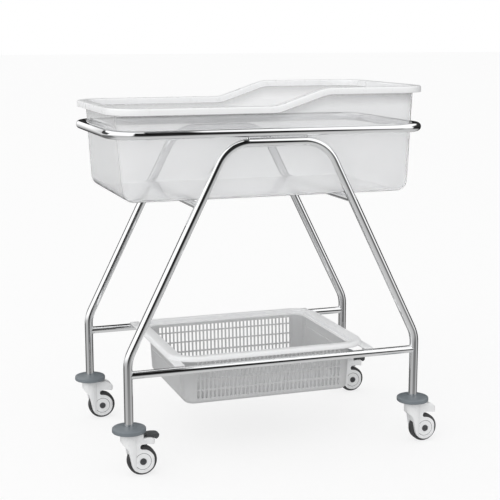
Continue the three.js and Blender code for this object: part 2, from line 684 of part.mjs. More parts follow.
function plainHousing() {
  const slotHalfWidth = TYRE_WIDTH / 2 + WHEEL_SIDE_GAP;
  const slotRadius = WHEEL_RADIUS + WHEEL_SLOT_GAP;
  const boreLow = COLLAR_TOP_Z - STEM_DEPTH_IN_HOUSING;
  const body = extrudedAlongY(housingOutline(), COLLAR_RADIUS * 2, 6);
  const axlePoint = (y) => [TRAIL, y, AXLE_Z];
  const alongAxle = (half, radius, sides) => bar(axlePoint(-half), axlePoint(half), radius, sides);
  const wheelSlot = alongAxle(slotHalfWidth, slotRadius, WHEEL_SIDES);
  const stemBore = bar([0, 0, boreLow], [0, 0, COLLAR_TOP_Z + 1], STEM_RADIUS + RUNNING_GAP, STEM_SIDES);
  const axleBore = alongAxle(HOUSING_WIDTH, AXLE_RADIUS + SEAT_GAP, AXLE_SIDES);
  const shaped = body.intersect(extrudedAlongZ(housingPlan(), 0, COLLAR_TOP_Z, 6));
  return shaped.subtract(wheelSlot).subtract(stemBore).subtract(axleBore);
}

// Side outline of the pedal, round the pivot boss and out to the down-curved tip
function pedalOutline() {
  const outline = new THREE.Shape();
  outline.absarc(PEDAL_PIVOT_X, PEDAL_PIVOT_Z, PEDAL_BOSS_RADIUS, Math.PI / 2, Math.PI * 1.5, false);
  outline.lineTo(PEDAL_PLATE_X, WHEEL_TOP_Z + PEDAL_ARM_LOW);
  for (const curve of [PEDAL_UNDERSIDE_CURVE, PEDAL_TIP_CURVE, PEDAL_TOP_CURVE, PEDAL_CREST_CURVE]) {
    addCurve(outline, curve, PEDAL_REACH, WHEEL_TOP_Z);
  }
  outline.lineTo(PEDAL_PLATE_X, WHEEL_TOP_Z + PEDAL_ARM_HIGH);
  return outline;
}

// Plan outline of the pedal: a narrow arm at the pivot and a wide foot plate
function pedalPlan() {
  const plan = new THREE.Shape();
  const armEnd = PEDAL_PIVOT_X - PEDAL_BOSS_RADIUS;
  plan.moveTo(armEnd, -PEDAL_ARM_HALF_WIDTH);
  plan.lineTo(PEDAL_PLATE_X, -PEDAL_ARM_HALF_WIDTH);
  plan.lineTo(PEDAL_PLATE_X, -PEDAL_HALF_WIDTH);
  plan.lineTo(PEDAL_REACH - PEDAL_PLATE_ROUND, -PEDAL_HALF_WIDTH);
  plan.quadraticCurveTo(PEDAL_REACH, -PEDAL_HALF_WIDTH, PEDAL_REACH, 0);
  plan.quadraticCurveTo(PEDAL_REACH, PEDAL_HALF_WIDTH, PEDAL_REACH - PEDAL_PLATE_ROUND, PEDAL_HALF_WIDTH);
  plan.lineTo(PEDAL_PLATE_X, PEDAL_HALF_WIDTH);
  plan.lineTo(PEDAL_PLATE_X, PEDAL_ARM_HALF_WIDTH);
  plan.lineTo(armEnd, PEDAL_ARM_HALF_WIDTH);
  return plan;
}

function pedalPin(halfLength, radius) {
  const from = [PEDAL_PIVOT_X, -halfLength, PEDAL_PIVOT_Z];
  return bar(from, [PEDAL_PIVOT_X, halfLength, PEDAL_PIVOT_Z], radius, AXLE_SIDES);
}

// The pedal and, under its arm, the shoe that presses on the tyre
function brakePedal() {
  const lever = extrudedAlongY(pedalOutline(), PEDAL_HALF_WIDTH * 2, 4);
  const plan = extrudedAlongZ(pedalPlan(), WHEEL_TOP_Z, COLLAR_TOP_Z + PEDAL_BOSS_RADIUS, 4);
  const shoeHigh = [PEDAL_PLATE_X + SHOE_LENGTH, SHOE_HALF_WIDTH, PEDAL_PIVOT_Z + PEDAL_BOSS_RADIUS];
  const shoe = box([PEDAL_PLATE_X, -SHOE_HALF_WIDTH, SHOE_LOW_Z], shoeHigh);
  const pinHole = pedalPin(HOUSING_WIDTH, PEDAL_PIN_RADIUS + RUNNING_GAP);
  return lever.intersect(plan).add(shoe).subtract(pinHole);
}

// The hood of a braked caster is cut away for the pedal's plate, arm and shoe, and holds the pivot pin
function brakedHousing() {
  const armHalf = PEDAL_ARM_HALF_WIDTH + PEDAL_GAP;
  const armLow = PEDAL_PIVOT_Z - PEDAL_BOSS_RADIUS - PEDAL_GAP;
  const armStart = PEDAL_PIVOT_X - PEDAL_BOSS_RADIUS - PEDAL_GAP;
  const beyond = PEDAL_REACH + HOUSING_WIDTH;
  const above = COLLAR_TOP_Z + HOUSING_WIDTH;
  const armSlot = box([armStart, -armHalf, armLow], [beyond, armHalf, above]);
  const shoeEnd = PEDAL_PLATE_X + SHOE_LENGTH + SHOE_SWING;
  const shoeHalf = SHOE_HALF_WIDTH + PEDAL_GAP;
  const shoeSlot = box([PEDAL_PLATE_X - PEDAL_GAP, -shoeHalf, AXLE_Z], [shoeEnd, shoeHalf, above]);
  const plateLow = WHEEL_TOP_Z - PEDAL_GAP;
  const underPlate = new THREE.Shape();
  underPlate.moveTo(PEDAL_PLATE_X - PEDAL_LIFT_GAP, plateLow + PEDAL_ARM_LOW);
  addCurve(underPlate, PEDAL_UNDERSIDE_CURVE, PEDAL_REACH, plateLow);
  underPlate.lineTo(beyond, plateLow + PEDAL_UNDERSIDE_CURVE[1][1]);
  underPlate.lineTo(beyond, above);
  underPlate.lineTo(PEDAL_PLATE_X - PEDAL_LIFT_GAP, above);
  const plateRecess = extrudedAlongY(underPlate, HOUSING_WIDTH * 2, 4);
  const pinHole = pedalPin(HOUSING_WIDTH, PEDAL_PIN_RADIUS + SEAT_GAP);
  return plainHousing().subtract(plateRecess).subtract(armSlot).subtract(shoeSlot).subtract(pinHole);
}

function tyre() {
  const half = TYRE_WIDTH / 2;
  const inner = TYRE_INNER_RADIUS + SEAT_GAP;
  const profile = [
    [inner, -half],
    [WHEEL_RADIUS - TYRE_SHOULDER, -half],
    [WHEEL_RADIUS - TYRE_SHOULDER / 4, -half + TYRE_SHOULDER / 2],
    [WHEEL_RADIUS, -half + TYRE_SHOULDER * 1.5],
    [WHEEL_RADIUS, half - TYRE_SHOULDER * 1.5],
    [WHEEL_RADIUS - TYRE_SHOULDER / 4, half - TYRE_SHOULDER / 2],
    [WHEEL_RADIUS - TYRE_SHOULDER, half],
    [inner, half],
  ];
  return turnedAboutY(profile, WHEEL_SIDES);
}

function wheelHub() {
  const bossHalf = TYRE_WIDTH / 2 + WHEEL_SIDE_GAP - HUB_END_GAP;
  const rimHalf = TYRE_WIDTH / 2;
  const webHalf = HUB_WEB_WIDTH / 2;
  const bore = AXLE_RADIUS + RUNNING_GAP;
  const rimInner = TYRE_INNER_RADIUS - HUB_RIM_WALL;
  const profile = [
    [bore, -bossHalf],
    [HUB_BOSS_RADIUS, -bossHalf],
    [HUB_BOSS_RADIUS, -webHalf],
    [rimInner, -webHalf],
    [rimInner, -rimHalf],
    [TYRE_INNER_RADIUS, -rimHalf],
    [TYRE_INNER_RADIUS, rimHalf],
    [rimInner, rimHalf],
    [rimInner, webHalf],
    [HUB_BOSS_RADIUS, webHalf],
    [HUB_BOSS_RADIUS, bossHalf],
    [bore, bossHalf],
  ];
  return turnedAboutY(profile, WHEEL_SIDES);
}

// The axle: a bolt with a round cap head towards -Y and a blind cap nut towards +Y, about the wheel's centre
function axleBolt() {
  const shank = bar([0, -AXLE_SEAT_Y, 0], [0, AXLE_END_Y, 0], AXLE_RADIUS, AXLE_SIDES);
  const headY = -AXLE_SEAT_Y - AXLE_CAP_THICKNESS;
  const head = bar([0, headY, 0], [0, -AXLE_SEAT_Y, 0], AXLE_CAP_RADIUS, AXLE_CAP_SIDES);
  return shank.add(head);
}

function axleNut() {
  const capY = AXLE_SEAT_Y + AXLE_CAP_THICKNESS;
  const cap = bar([0, AXLE_SEAT_Y, 0], [0, capY, 0], AXLE_CAP_RADIUS, AXLE_CAP_SIDES);
  const blind = bar([0, 0, 0], [0, AXLE_END_Y + SEAT_GAP, 0], AXLE_RADIUS + SEAT_GAP, AXLE_SIDES);
  return cap.subtract(blind);
}

// Finishes
const finishes = {
  chrome: { color: 0xd6d8da, roughness: 0.12, metalness: 1 },
  tub: { color: 0xe9ecee, roughness: 0.15, metalness: 0, transparent: true, opacity: 0.55 },
  whitePlastic: { color: 0xf4f5f5, roughness: 0.3, metalness: 0 },
  basketPlastic: { color: 0xe6e7e8, roughness: 0.4, metalness: 0 },
  bumperPlastic: { color: 0x7f888f, roughness: 0.45, metalness: 0 },
  tyreRubber: { color: 0x4a4a4c, roughness: 0.7, metalness: 0 },
  darkPlastic: { color: 0x4f5052, roughness: 0.5, metalness: 0 },
  steel: { color: 0xa9acb0, roughness: 0.35, metalness: 1 },
};

const bassinet = new THREE.Group();
bassinet.position.x = -CENTRE_X;

function put(parent, name, manifold, finish) {
  const mesh = new THREE.Mesh(geometryOf(manifold), new THREE.MeshStandardMaterial(finishes[finish]));
  mesh.name = name;
  parent.add(mesh);
}

const sides = { near: -1, far: 1 };
const ends = { foot: -1, head: 1 };

for (const [sideName, side] of Object.entries(sides)) {
  const y = side * FRAME_HALF_WIDTH;
  put(bassinet, `${sideName}_side_frame`, sideFrame(y), 'chrome');
  put(bassinet, `${sideName}_lower_rail`, lowerRail(y), 'chrome');
  for (const [endName, end] of Object.entries(ends)) {
    put(bassinet, `${sideName}_${endName}_ring_post`, spacerPost(end * POST_HALF_SPACING, y), 'chrome');
  }
}
put(bassinet, 'upper_ring', upperRing(), 'chrome');
for (const [endName, end] of Object.entries(ends)) {
  put(bassinet, `${endName}_cross_tube`, crossTube(end * CROSS_TUBE_X), 'chrome');
}
put(bassinet, 'tub_shell', tubShell(), 'tub');
put(bassinet, 'tub_rim', tubRim(), 'whitePlastic');
put(bassinet, 'basket', basket(), 'basketPlastic');

// The pedals are on the near foot caster and on the far head caster
const braked = ['near_foot', 'far_head'];

for (const [sideName, side] of Object.entries(sides)) {
  for (const [endName, end] of Object.entries(ends)) {
    const place = `${sideName}_${endName}`;
    const caster = new THREE.Group();
    caster.position.set(end * LEG_HALF_SPAN, side * FRAME_HALF_WIDTH, 0);
    bassinet.add(caster);
    put(caster, `${place}_leg_insert`, legInsert(), 'darkPlastic');
    put(caster, `${place}_swivel_stem`, stem(), 'steel');
    put(caster, `${place}_bumper`, bumper(), 'bumperPlastic');
    if (braked.includes(place)) {
      put(caster, `${place}_caster_housing`, brakedHousing(), 'whitePlastic');
      put(caster, `${place}_brake_pedal`, brakePedal(), 'darkPlastic');
      put(caster, `${place}_pedal_pin`, pedalPin(HOUSING_WIDTH / 2 - PEDAL_GAP, PEDAL_PIN_RADIUS), 'steel');
    } else {
      put(caster, `${place}_caster_housing`, plainHousing(), 'whitePlastic');
    }
    const wheel = new THREE.Group();
    wheel.position.set(TRAIL, 0, AXLE_Z);
    caster.add(wheel);
    put(wheel, `${place}_axle_bolt`, axleBolt(), 'darkPlastic');
    put(wheel, `${place}_axle_nut`, axleNut(), 'darkPlastic');
    put(wheel, `${place}_wheel_hub`, wheelHub(), 'whitePlastic');
    put(wheel, `${place}_tyre`, tyre(), 'tyreRubber');
  }
}

export default bassinet;
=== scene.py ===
# Looks of the hospital bassinet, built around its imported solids. Metres, +Z up, +X towards the head end.
import math

import bmesh
import bpy
from mathutils import Matrix, Vector


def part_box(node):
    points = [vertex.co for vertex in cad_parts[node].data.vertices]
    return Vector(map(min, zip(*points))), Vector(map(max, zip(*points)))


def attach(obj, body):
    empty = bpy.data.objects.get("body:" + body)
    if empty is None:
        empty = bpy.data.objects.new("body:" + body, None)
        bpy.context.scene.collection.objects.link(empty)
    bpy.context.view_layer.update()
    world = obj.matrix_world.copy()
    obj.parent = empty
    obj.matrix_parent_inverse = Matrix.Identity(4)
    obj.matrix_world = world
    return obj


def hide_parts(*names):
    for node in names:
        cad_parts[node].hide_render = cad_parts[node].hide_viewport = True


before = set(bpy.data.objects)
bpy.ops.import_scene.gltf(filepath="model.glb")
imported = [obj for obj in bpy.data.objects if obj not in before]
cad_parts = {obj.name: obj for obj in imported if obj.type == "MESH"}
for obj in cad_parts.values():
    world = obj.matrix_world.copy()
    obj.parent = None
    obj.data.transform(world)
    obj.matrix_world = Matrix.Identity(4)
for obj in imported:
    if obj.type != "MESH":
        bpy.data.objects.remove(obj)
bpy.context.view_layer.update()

MM = 0.001
RING_LOW, RING_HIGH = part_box("upper_ring")
CENTRE = Vector(((RING_LOW.x + RING_HIGH.x) / 2, 0, 0))
SIDES = (("near", -1), ("far", 1))
ENDS = (("foot", -1), ("head", 1))
QUADRANTS = ((1, 1), (-1, 1), (-1, -1), (1, -1))

# Stand, in millimetres about the middle of the stand
TUBE_RADIUS = 12.5
TUBE_SIDES = 28
HALF_WIDTH = 262.4
LEG_X = 428
TOP_BAR_X = 141
TOP_BAR_Z = 900.5
LOWER_CORNER_Z = 325.5
LEG_FOOT_Z = 127.65
LEG_BEND = 100
RING_Z = 927.5
RING_X = 454
RING_CORNER = 90
RING_CORNER_STEPS = 18
POST_X = 85
POST_RADIUS = 6
POST_WAIST = 0.4
POST_OVERLAP = 1.5
RAIL_RADIUS = 11
RAIL_Z = 282
RAIL_INSET = 8
CROSS_RADIUS = 9.5
CROSS_Z = 733
CROSS_INSET = 6
WELD_RADIUS = 1.5
WELD_STEPS, WELD_SIDES = 40, 10
WELD_RIPPLE, RIPPLE_TURN = 0.18, 2.1
LEG_SLOPE = (TOP_BAR_Z - LOWER_CORNER_Z) / (LEG_X - TOP_BAR_X)
CROSS_X = LEG_X - (CROSS_Z - LOWER_CORNER_Z) / LEG_SLOPE

# Tub and rim
TUB_X, TUB_Y = 431.6, 243.8
TUB_DRAFT = math.tan(math.radians(4))
TUB_WALL = 4
TUB_FLOOR_Z = 742.8
TUB_FLOOR_SHARE = 0.96
TUB_FILLET = 30
TUB_CORNER_AT_RING, TUB_CORNER_AT_FLOOR = 60, 32
TUB_CORNER_STEPS, TUB_FILLET_STEPS, TUB_WALL_STEPS = 12, 10, 8
RIM_LOW_Z, RIM_STEP = 997.5, 47
RIM_SLOPE = (0, 143)
RIM_BLEND = 16
RIM_OVERHANG = 25
RIM_LIP = 18
RIM_WALL = 3
RIM_GAP = 0.3
RIM_EDGE = 1.2
RIM_ROUND_STEPS = 5
# Painted shade under the tub's rim: how far below the rim's lip the band reaches, and the colour's factor
# at the lip
RIM_PAINTED_SHADE_DEPTH = 36
RIM_PAINTED_SHADE = 0.76
# Stops along the sides as shares of half a straight side, closer together under the rim's slope
SIDE_STRAIGHT = 372
SIDE_STOPS = sorted({k / 8 for k in range(-8, 9)} | {x / SIDE_STRAIGHT for x in range(-24, 180, 6)})
END_STOPS = [k / 4 for k in range(-4, 5)]

# Basket
BASKET_TOP_Z = 308.1
BASKET_X, BASKET_Y = 297.5, 242.2
BASKET_LIP = 13
LIP_ROUND, LIP_STEPS = 8, 8
LIP_EDGE = (0.5, 0.8)
FLANGE_FLAT = 11
FLANGE_CORNER = 82
COLLAR_X, COLLAR_Y = 261, 215.4
COLLAR_CORNER = 36
# Inset and depth of each row of points down the collar
COLLAR_ROWS = ((-3, 0), (-0.9, 0.9), (0, 3), (0, 9.8), (1.2, 11.4), (6.8, 12.2))
BASKET_WALL = 2.5
BASKET_DEPTH = 146.6
BASKET_CORNER_STEPS = 12
WALL_INSET = 8
WALL_START = 13.6
WALL_TAPER = 6
WALL_CORNER, WALL_CORNER_GROWTH = 30, 4
FLOOR_FILLET, FLOOR_STEPS = 10, 4
FLOOR_INSET, FLOOR_CORNER = 24, 38
PANEL_Y = 158
PANEL_STEP = 1.2
PANEL_RECESS, BAND_RECESS = 2.6, 1.3
PANEL_TOP = (15.2, 16.6)
PANEL_LOW = 1.5
BAND_STEP = (0.8, 2)
SLOT_COLUMNS = 36
SLOT_PITCH = 12.2
SLOT_BAR = 5
SLOT_ROWS = ((21.5, 40.5), (44.5, 72.5), (76.5, 103.5), (108.5, 130.5))
LUG_X = (269.5, 297.2)
LUG_Z = (293.4, 297.7)
LUG_STRAP_Y = (154, 263.8)
LUG_TAB_Y = (244.2, 250.9)
LUG_TAB_DROP, LUG_TAB_SINK, LUG_TAB_INSET = 9, 0.6, 0.2
# Painted shade on the basket: full colour down to the first depth, fading to the factor below by the
# second depth and under it
FLANGE_UNSHADED_DEPTH, WALL_PAINTED_SHADE_DEPTH = 10, 17
WALL_PAINTED_SHADE = 0.67

# Casters, about a stem axis
AXLE_X, AXLE_Z = 34, 41
WHEEL_RADIUS = 41
WHEEL_WELL_GAP = 2.4
COLLAR_RADIUS, COLLAR_TOP_Z, COLLAR_LOW_Z = 24.5, 118, 100
THROAT = (-7, 78)
PLATE_RADIUS = 33
HOUSING_HALF = 18
HOOD_Z = 89.5
NOSE_X = 70
NOSE_ROUND = 10
GROOVE_RADII, GROOVE_DEPTH = (22, 23.6), 0.9
CAP_GAP, RING_SINK = 0.3, 0.35
TYRE_INSIDE, TYRE_HALF = 30.3, 12.5
SLOT_HALF = 13.5
BUMPER_LOW_Z = 118.35
WHEEL_SIDES, DISC_SIDES, CAP_SIDES = 72, 64, 40
TYRE_ROUND_STEPS, BUMPER_ROUND_STEPS = 4, 5
PIVOT_X, PIVOT_Z = 27, 105
PIVOT_RADIUS = 5.5
PEDAL_BACK_X, PEDAL_TIP_X = 44, 83.5
PEDAL_HALF, ARM_HALF, ARM_SLOT_HALF, SHOE_HALF = 15, 8, 9, 7
# Past everything on a caster, for cutting
CLEAR_X, CLEAR_HALF, CLEAR_Z = 120, 40, 140
BRAKED = ("near_foot", "far_head")

# Faces that meet at fewer degrees than these are shaded as one
TURNED_SMOOTH, CUT_SMOOTH, CAP_SMOOTH, SOFT_SMOOTH = 40, 32, 35, 50

# The part of a noise that most of its values lie in
NOISE_RANGE = (0.3, 0.7)

# Stage: the floor and the camera's reach in metres, the camera's place in millimetres, angles in degrees
FLOOR_HALF = 60
FLOOR_BOUNCE = (0.65, 0.65, 0.65, 1)
FLOOR_GLOW = 0.75
WHITE_LIGHT = (1, 1, 1, 1)
SOFT_LIGHT, LEFT_LIGHT, FRONT_LIGHT = 0.685, 0.45, 0.32
ROOM_BRIGHTNESS = 1.12
# Brightness of the mirrored room from straight below, at 0, to straight above, at 1
ROOM_LEVELS = ((0.0, 0.5), (0.07, 0.55), (0.2, 0.5), (0.3, 0.45),
               (0.36, 0.42), (0.45, 0.5), (0.5, 0.8), (0.55, 1.0))
KEY_ENERGY = 0.4
KEY_SPREAD = 50
KEY_DIRECTION = (0.5, 0.58, -0.64)
IMAGE_PIXELS, FOCAL_PIXELS = 500, 1186.9
SENSOR = 36
CAMERA_PLACE = (-1127.1, -3287.7, 1195.3)
CAMERA_PITCH, CAMERA_HEADING = 10.428, -19.097
CAMERA_REACH = 200


# Nodes
def feed(tree, socket, value):
    """A constant set on the socket, or an output linked to it."""
    if isinstance(value, (int, float, tuple)):
        socket.default_value = value
    else:
        tree.links.new(value, socket)


def math_node(tree, operation, *values, clamp=False):
    node = tree.nodes.new("ShaderNodeMath")
    node.operation = operation
    node.use_clamp = clamp
    for socket, value in zip(node.inputs, values):
        feed(tree, socket, value)
    return node.outputs[0]


def product(tree, *values):
    result = values[0]
    for value in values[1:]:
        result = math_node(tree, "MULTIPLY", result, value)
    return result


def span(tree, value, start, end, low, high, interpolation="LINEAR"):
    """low before start and high past end."""
    node = tree.nodes.new("ShaderNodeMapRange")
    node.interpolation_type = interpolation
    tree.links.new(value, node.inputs["Value"])
    for name, number in (("From Min", start), ("From Max", end), ("To Min", low), ("To Max", high)):
        node.inputs[name].default_value = number
    return node.outputs["Result"]


def slope(tree, value, start, end):
    """0 before start and 1 past end, smooth in between."""
    return span(tree, value, start, end, 0, 1, "SMOOTHSTEP")


def within(tree, value, start, full, fading, end):
    """1 from full to fading, and 0 before start and past end."""
    return product(tree, slope(tree, value, start, full), slope(tree, value, end, fading))


def choose(tree, fac, plain, other):
    """A number: plain where fac is 0 and other where it is 1."""
    node = tree.nodes.new("ShaderNodeMix")
    node.data_type = "FLOAT"
    for index, value in ((0, fac), (2, plain), (3, other)):
        feed(tree, node.inputs[index], value)
    return node.outputs[0]


def mix_colors(tree, blend, fac, first, second):
    node = tree.nodes.new("ShaderNodeMix")
    node.data_type = "RGBA"
    node.blend_type = blend
    for index, value in ((0, fac), (6, first), (7, second)):
        feed(tree, node.inputs[index], value)
    return node.outputs[2]


def coordinates(tree, kind):
    place = tree.nodes.new("ShaderNodeTexCoord")
    split = tree.nodes.new("ShaderNodeSeparateXYZ")
    tree.links.new(place.outputs[kind], split.inputs["Vector"])
    return split.outputs


def noise(tree, scale, detail=3.0):
    place = tree.nodes.new("ShaderNodeTexCoord")
    texture = tree.nodes.new("ShaderNodeTexNoise")
    texture.inputs["Scale"].default_value = scale
    texture.inputs["Detail"].default_value = detail
    tree.links.new(place.outputs["Object"], texture.inputs["Vector"])
    return texture.outputs["Fac"]


# Materials
def nodes_of(name, color, roughness, metallic=0.0):
    material = bpy.data.materials.new(name)
    material.use_nodes = True
    tree = material.node_tree
    shader = tree.nodes["Principled BSDF"]
    shader.inputs["Base Color"].default_value = (*color, 1)
    shader.inputs["Roughness"].default_value = roughness
    shader.inputs["Metallic"].default_value = metallic
    return material, tree, shader


def vary_color(tree, shader, fac, low, high):
    ramp = tree.nodes.new("ShaderNodeValToRGB")
    for element, place, color in zip(ramp.color_ramp.elements, NOISE_RANGE, (low, high)):
        element.position = place
        element.color = (*color, 1)
    tree.links.new(fac, ramp.inputs["Fac"])
    tree.links.new(ramp.outputs["Color"], shader.inputs["Base Color"])


def vary_roughness(tree, shader, fac, low, high):
    tree.links.new(span(tree, fac, *NOISE_RANGE, low, high), shader.inputs["Roughness"])


def shade_color(tree, shader, fac):
    """The shader's linked colour times a number."""
    color = shader.inputs["Base Color"].links[0].from_socket
    tree.links.new(mix_colors(tree, "MULTIPLY", 1.0, color, fac), shader.inputs["Base Color"])


def bump(tree, shader, fac, strength, distance):
    node = tree.nodes.new("ShaderNodeBump")
    node.inputs["Strength"].default_value = strength
    node.inputs["Distance"].default_value = distance
    tree.links.new(fac, node.inputs["Height"])
    tree.links.new(node.outputs["Normal"], shader.inputs["Normal"])


def chrome_material():
    material, tree, shader = nodes_of("chrome", (0.93, 0.935, 0.94), 0.04, 1.0)
    vary_roughness(tree, shader, noise(tree, 9, 4), 0.012, 0.03)
    bump(tree, shader, noise(tree, 260, 2), 0.012, 0.0004)
    return material


def weld_material():
    material, tree, shader = nodes_of("chromed_weld", (0.8, 0.81, 0.82), 0.14, 1.0)
    vary_roughness(tree, shader, noise(tree, 120), 0.1, 0.2)
    bump(tree, shader, noise(tree, 420, 2), 0.35, 0.0006)
    return material


def tub_material():
    """Milky clear plastic, with shade painted into its colour in a band under the rim."""
    material, tree, shader = nodes_of("tub_plastic", (0.93, 0.94, 0.945), 0.12)
    shader.inputs["Transmission Weight"].default_value = 0.8
    shader.inputs["IOR"].default_value = 1.25
    vary_color(tree, shader, noise(tree, 3, 2), (0.95, 0.955, 0.96), (0.98, 0.98, 0.985))
    vary_roughness(tree, shader, noise(tree, 14, 3), 0.03, 0.05)
    # Painted shade: the colour is darkest along the line of the rim's lip, following its slope, and fades
    # out below it
    x, _, z = coordinates(tree, "Object")
    slope_start, slope_end = (CENTRE.x + x_mm * MM for x_mm in RIM_SLOPE)
    lip_low = RIM_LOW_Z - RIM_LIP
    lip = span(tree, x, slope_start, slope_end, lip_low * MM, (lip_low + RIM_STEP) * MM)
    below = math_node(tree, "SUBTRACT", lip, z)
    shade_color(tree, shader, span(tree, below, 0, RIM_PAINTED_SHADE_DEPTH * MM, RIM_PAINTED_SHADE, 1))
    return material


def plastic_material(name, low, high, roughness, grain=900.0, grain_strength=0.05):
    middle = tuple((a + b) / 2 for a, b in zip(low, high))
    material, tree, shader = nodes_of(name, middle, roughness)
    vary_color(tree, shader, noise(tree, 6, 3), low, high)
    vary_roughness(tree, shader, noise(tree, 40, 3), roughness - 0.05, roughness + 0.07)
    bump(tree, shader, noise(tree, grain, 2), grain_strength, 0.0003)
    return material


def basket_material():
    """White plastic with painted shade: the walls below the collar are darker than the flange and its
    collar.
    """
    material = plastic_material("basket_plastic", (0.9, 0.905, 0.91), (0.93, 0.935, 0.94), 0.42)
    tree = material.node_tree
    # Painted shade: the colour darkens with depth below the basket's top, from the flange into the walls
    _, _, z = coordinates(tree, "Object")
    low, high = ((BASKET_TOP_Z - depth) * MM for depth in (WALL_PAINTED_SHADE_DEPTH, FLANGE_UNSHADED_DEPTH))
    shade_color(tree, tree.nodes["Principled BSDF"], span(tree, z, low, high, WALL_PAINTED_SHADE, 1))
    return material


CHROME = chrome_material()
WELD = weld_material()
TUB = tub_material()
WHITE = plastic_material("white_plastic", (0.92, 0.925, 0.93), (0.945, 0.95, 0.955), 0.3)
RIM = plastic_material("rim_plastic", (0.945, 0.95, 0.955), (0.965, 0.97, 0.975), 0.3)
BASKET = basket_material()
BUMPER = plastic_material("bumper_plastic", (0.185, 0.21, 0.23), (0.215, 0.24, 0.26), 0.36)
TYRE = plastic_material("tyre_rubber", (0.04, 0.04, 0.042), (0.06, 0.06, 0.062), 0.6, 600, 0.15)
DARK = plastic_material("dark_plastic", (0.055, 0.057, 0.06), (0.08, 0.082, 0.085), 0.45, 700, 0.12)
GREY = plastic_material("grey_plastic", (0.25, 0.255, 0.26), (0.31, 0.315, 0.32), 0.45)
STEEL = plastic_material("steel", (0.42, 0.43, 0.44), (0.5, 0.51, 0.52), 0.3)
STEEL.node_tree.nodes["Principled BSDF"].inputs["Metallic"].default_value = 1.0


# Meshes
def make(name, points, faces, material, body, slot, stands_for=(), smooth_angle=TURNED_SMOOTH):
    """A piece from points in millimetres about the middle of the stand."""
    mesh = bpy.data.meshes.new(name)
    mesh.from_pydata([Vector(p) * MM + CENTRE for p in points], [], faces)
    finish_piece(name, mesh, material, body, stands_for, smooth_angle)


def finish_piece(name, mesh, material, body, stands_for=(), smooth_angle=CUT_SMOOTH):
    face_outwards(mesh)
    mesh.materials.clear()
    mesh.materials.append(material)
    mesh.shade_smooth()
    mesh.set_sharp_from_angle(angle=math.radians(smooth_angle))
    piece = bpy.data.objects.new(name, mesh)
    bpy.context.scene.collection.objects.link(piece)
    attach(piece, body)
    if stands_for:
        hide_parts(*stands_for)


def face_outwards(mesh):
    work = bmesh.new()
    work.from_mesh(mesh)
    bmesh.ops.recalc_face_normals(work, faces=work.faces)
    work.to_mesh(mesh)
    work.free()


def strips(rows, closed=False, openings=frozenset()):
    """Quads between loops of as many points each, apart from the openings, given as (row, column)."""
    count = len(rows[0])
    faces = []
    for row in range(len(rows) if closed else len(rows) - 1):
        after = (row + 1) % len(rows)
        for column in range(count):
            if (row, column) in openings:
                continue
            beside = (column + 1) % count
            faces.append((row * count + column, row * count + beside,
                          after * count + beside, after * count + column))
    return faces


def points_of(rows):
    return [p for row in rows for p in row]


def capped(rows):
    """Points and faces of a solid through the rows, closed by its first and last row."""
    count = len(rows[0])
    faces = strips(rows)
    faces.append(tuple(reversed(range(count))))
    faces.append(tuple(range((len(rows) - 1) * count, len(rows) * count)))
    return points_of(rows), faces


def sweep(path, radius, closed=False, sides=TUBE_SIDES, ripple=0.0):
    """Points and faces of a round tube along a path, capped where it is open."""
    path = [Vector(p) for p in path]
    count = len(path)
    rows = []
    normal = None
    for index, here in enumerate(path):
        before = path[(index - 1) % count] if closed or index else here
        after = path[(index + 1) % count] if closed or index + 1 < count else here
        along = (after - before).normalized()
        if normal is None:
            normal = along.orthogonal().normalized()
        normal = (normal - along * normal.dot(along)).normalized()
        other = along.cross(normal)
        size = radius * (1 + ripple * math.sin(index * RIPPLE_TURN))
        rows.append([here + (normal * math.cos(a) + other * math.sin(a)) * size
                     for a in (side / sides * math.tau for side in range(sides))])
    if not closed:
        return capped(rows)
    # The first row may come round turned, so the last row is joined to it at the nearest point
    faces = strips(rows)
    shift = min(range(sides), key=lambda k: (rows[0][k] - rows[-1][0]).length)
    base = (count - 1) * sides
    for side in range(sides):
        beside = (side + 1) % sides
        faces.append((base + side, base + beside, (beside + shift) % sides, (side + shift) % sides))
    return points_of(rows), faces


def joined(*solids):
    points, faces = [], []
    for some_points, some_faces in solids:
        base = len(points)
        points += list(some_points)
        faces += [tuple(base + i for i in face) for face in some_faces]
    return points, faces


def bent(corners, radius, steps_per_turn=72, straight_step=60):
    """A path whose inner corners are bent to a radius, with points along the straight runs too."""
    corners = [Vector(c) for c in corners]
    path = [corners[0]]
    for before, corner, after in zip(corners, corners[1:], corners[2:]):
        back, forth = (before - corner).normalized(), (after - corner).normalized()
        turn = math.pi - back.angle(forth)
        inward = (back + forth).normalized()
        centre = corner + inward * (radius / math.cos(turn / 2))
        start = corner + back * (radius * math.tan(turn / 2)) - centre
        axis = back.cross(start).normalized()
        steps = max(4, round(turn / math.tau * steps_per_turn))
        for step in range(steps + 1):
            path.append(centre + Matrix.Rotation(turn * step / steps, 3, axis) @ start)
    path.append(corners[-1])
    full = []
    for here, after in zip(path, path[1:]):
        parts = max(1, int((after - here).length / straight_step))
        full += [here.lerp(after, k / parts) for k in range(parts)]
    return full + [path[-1]]


def straight(start, end, steps=16):
    return [Vector(start).lerp(Vector(end), k / steps) for k in range(steps + 1)]


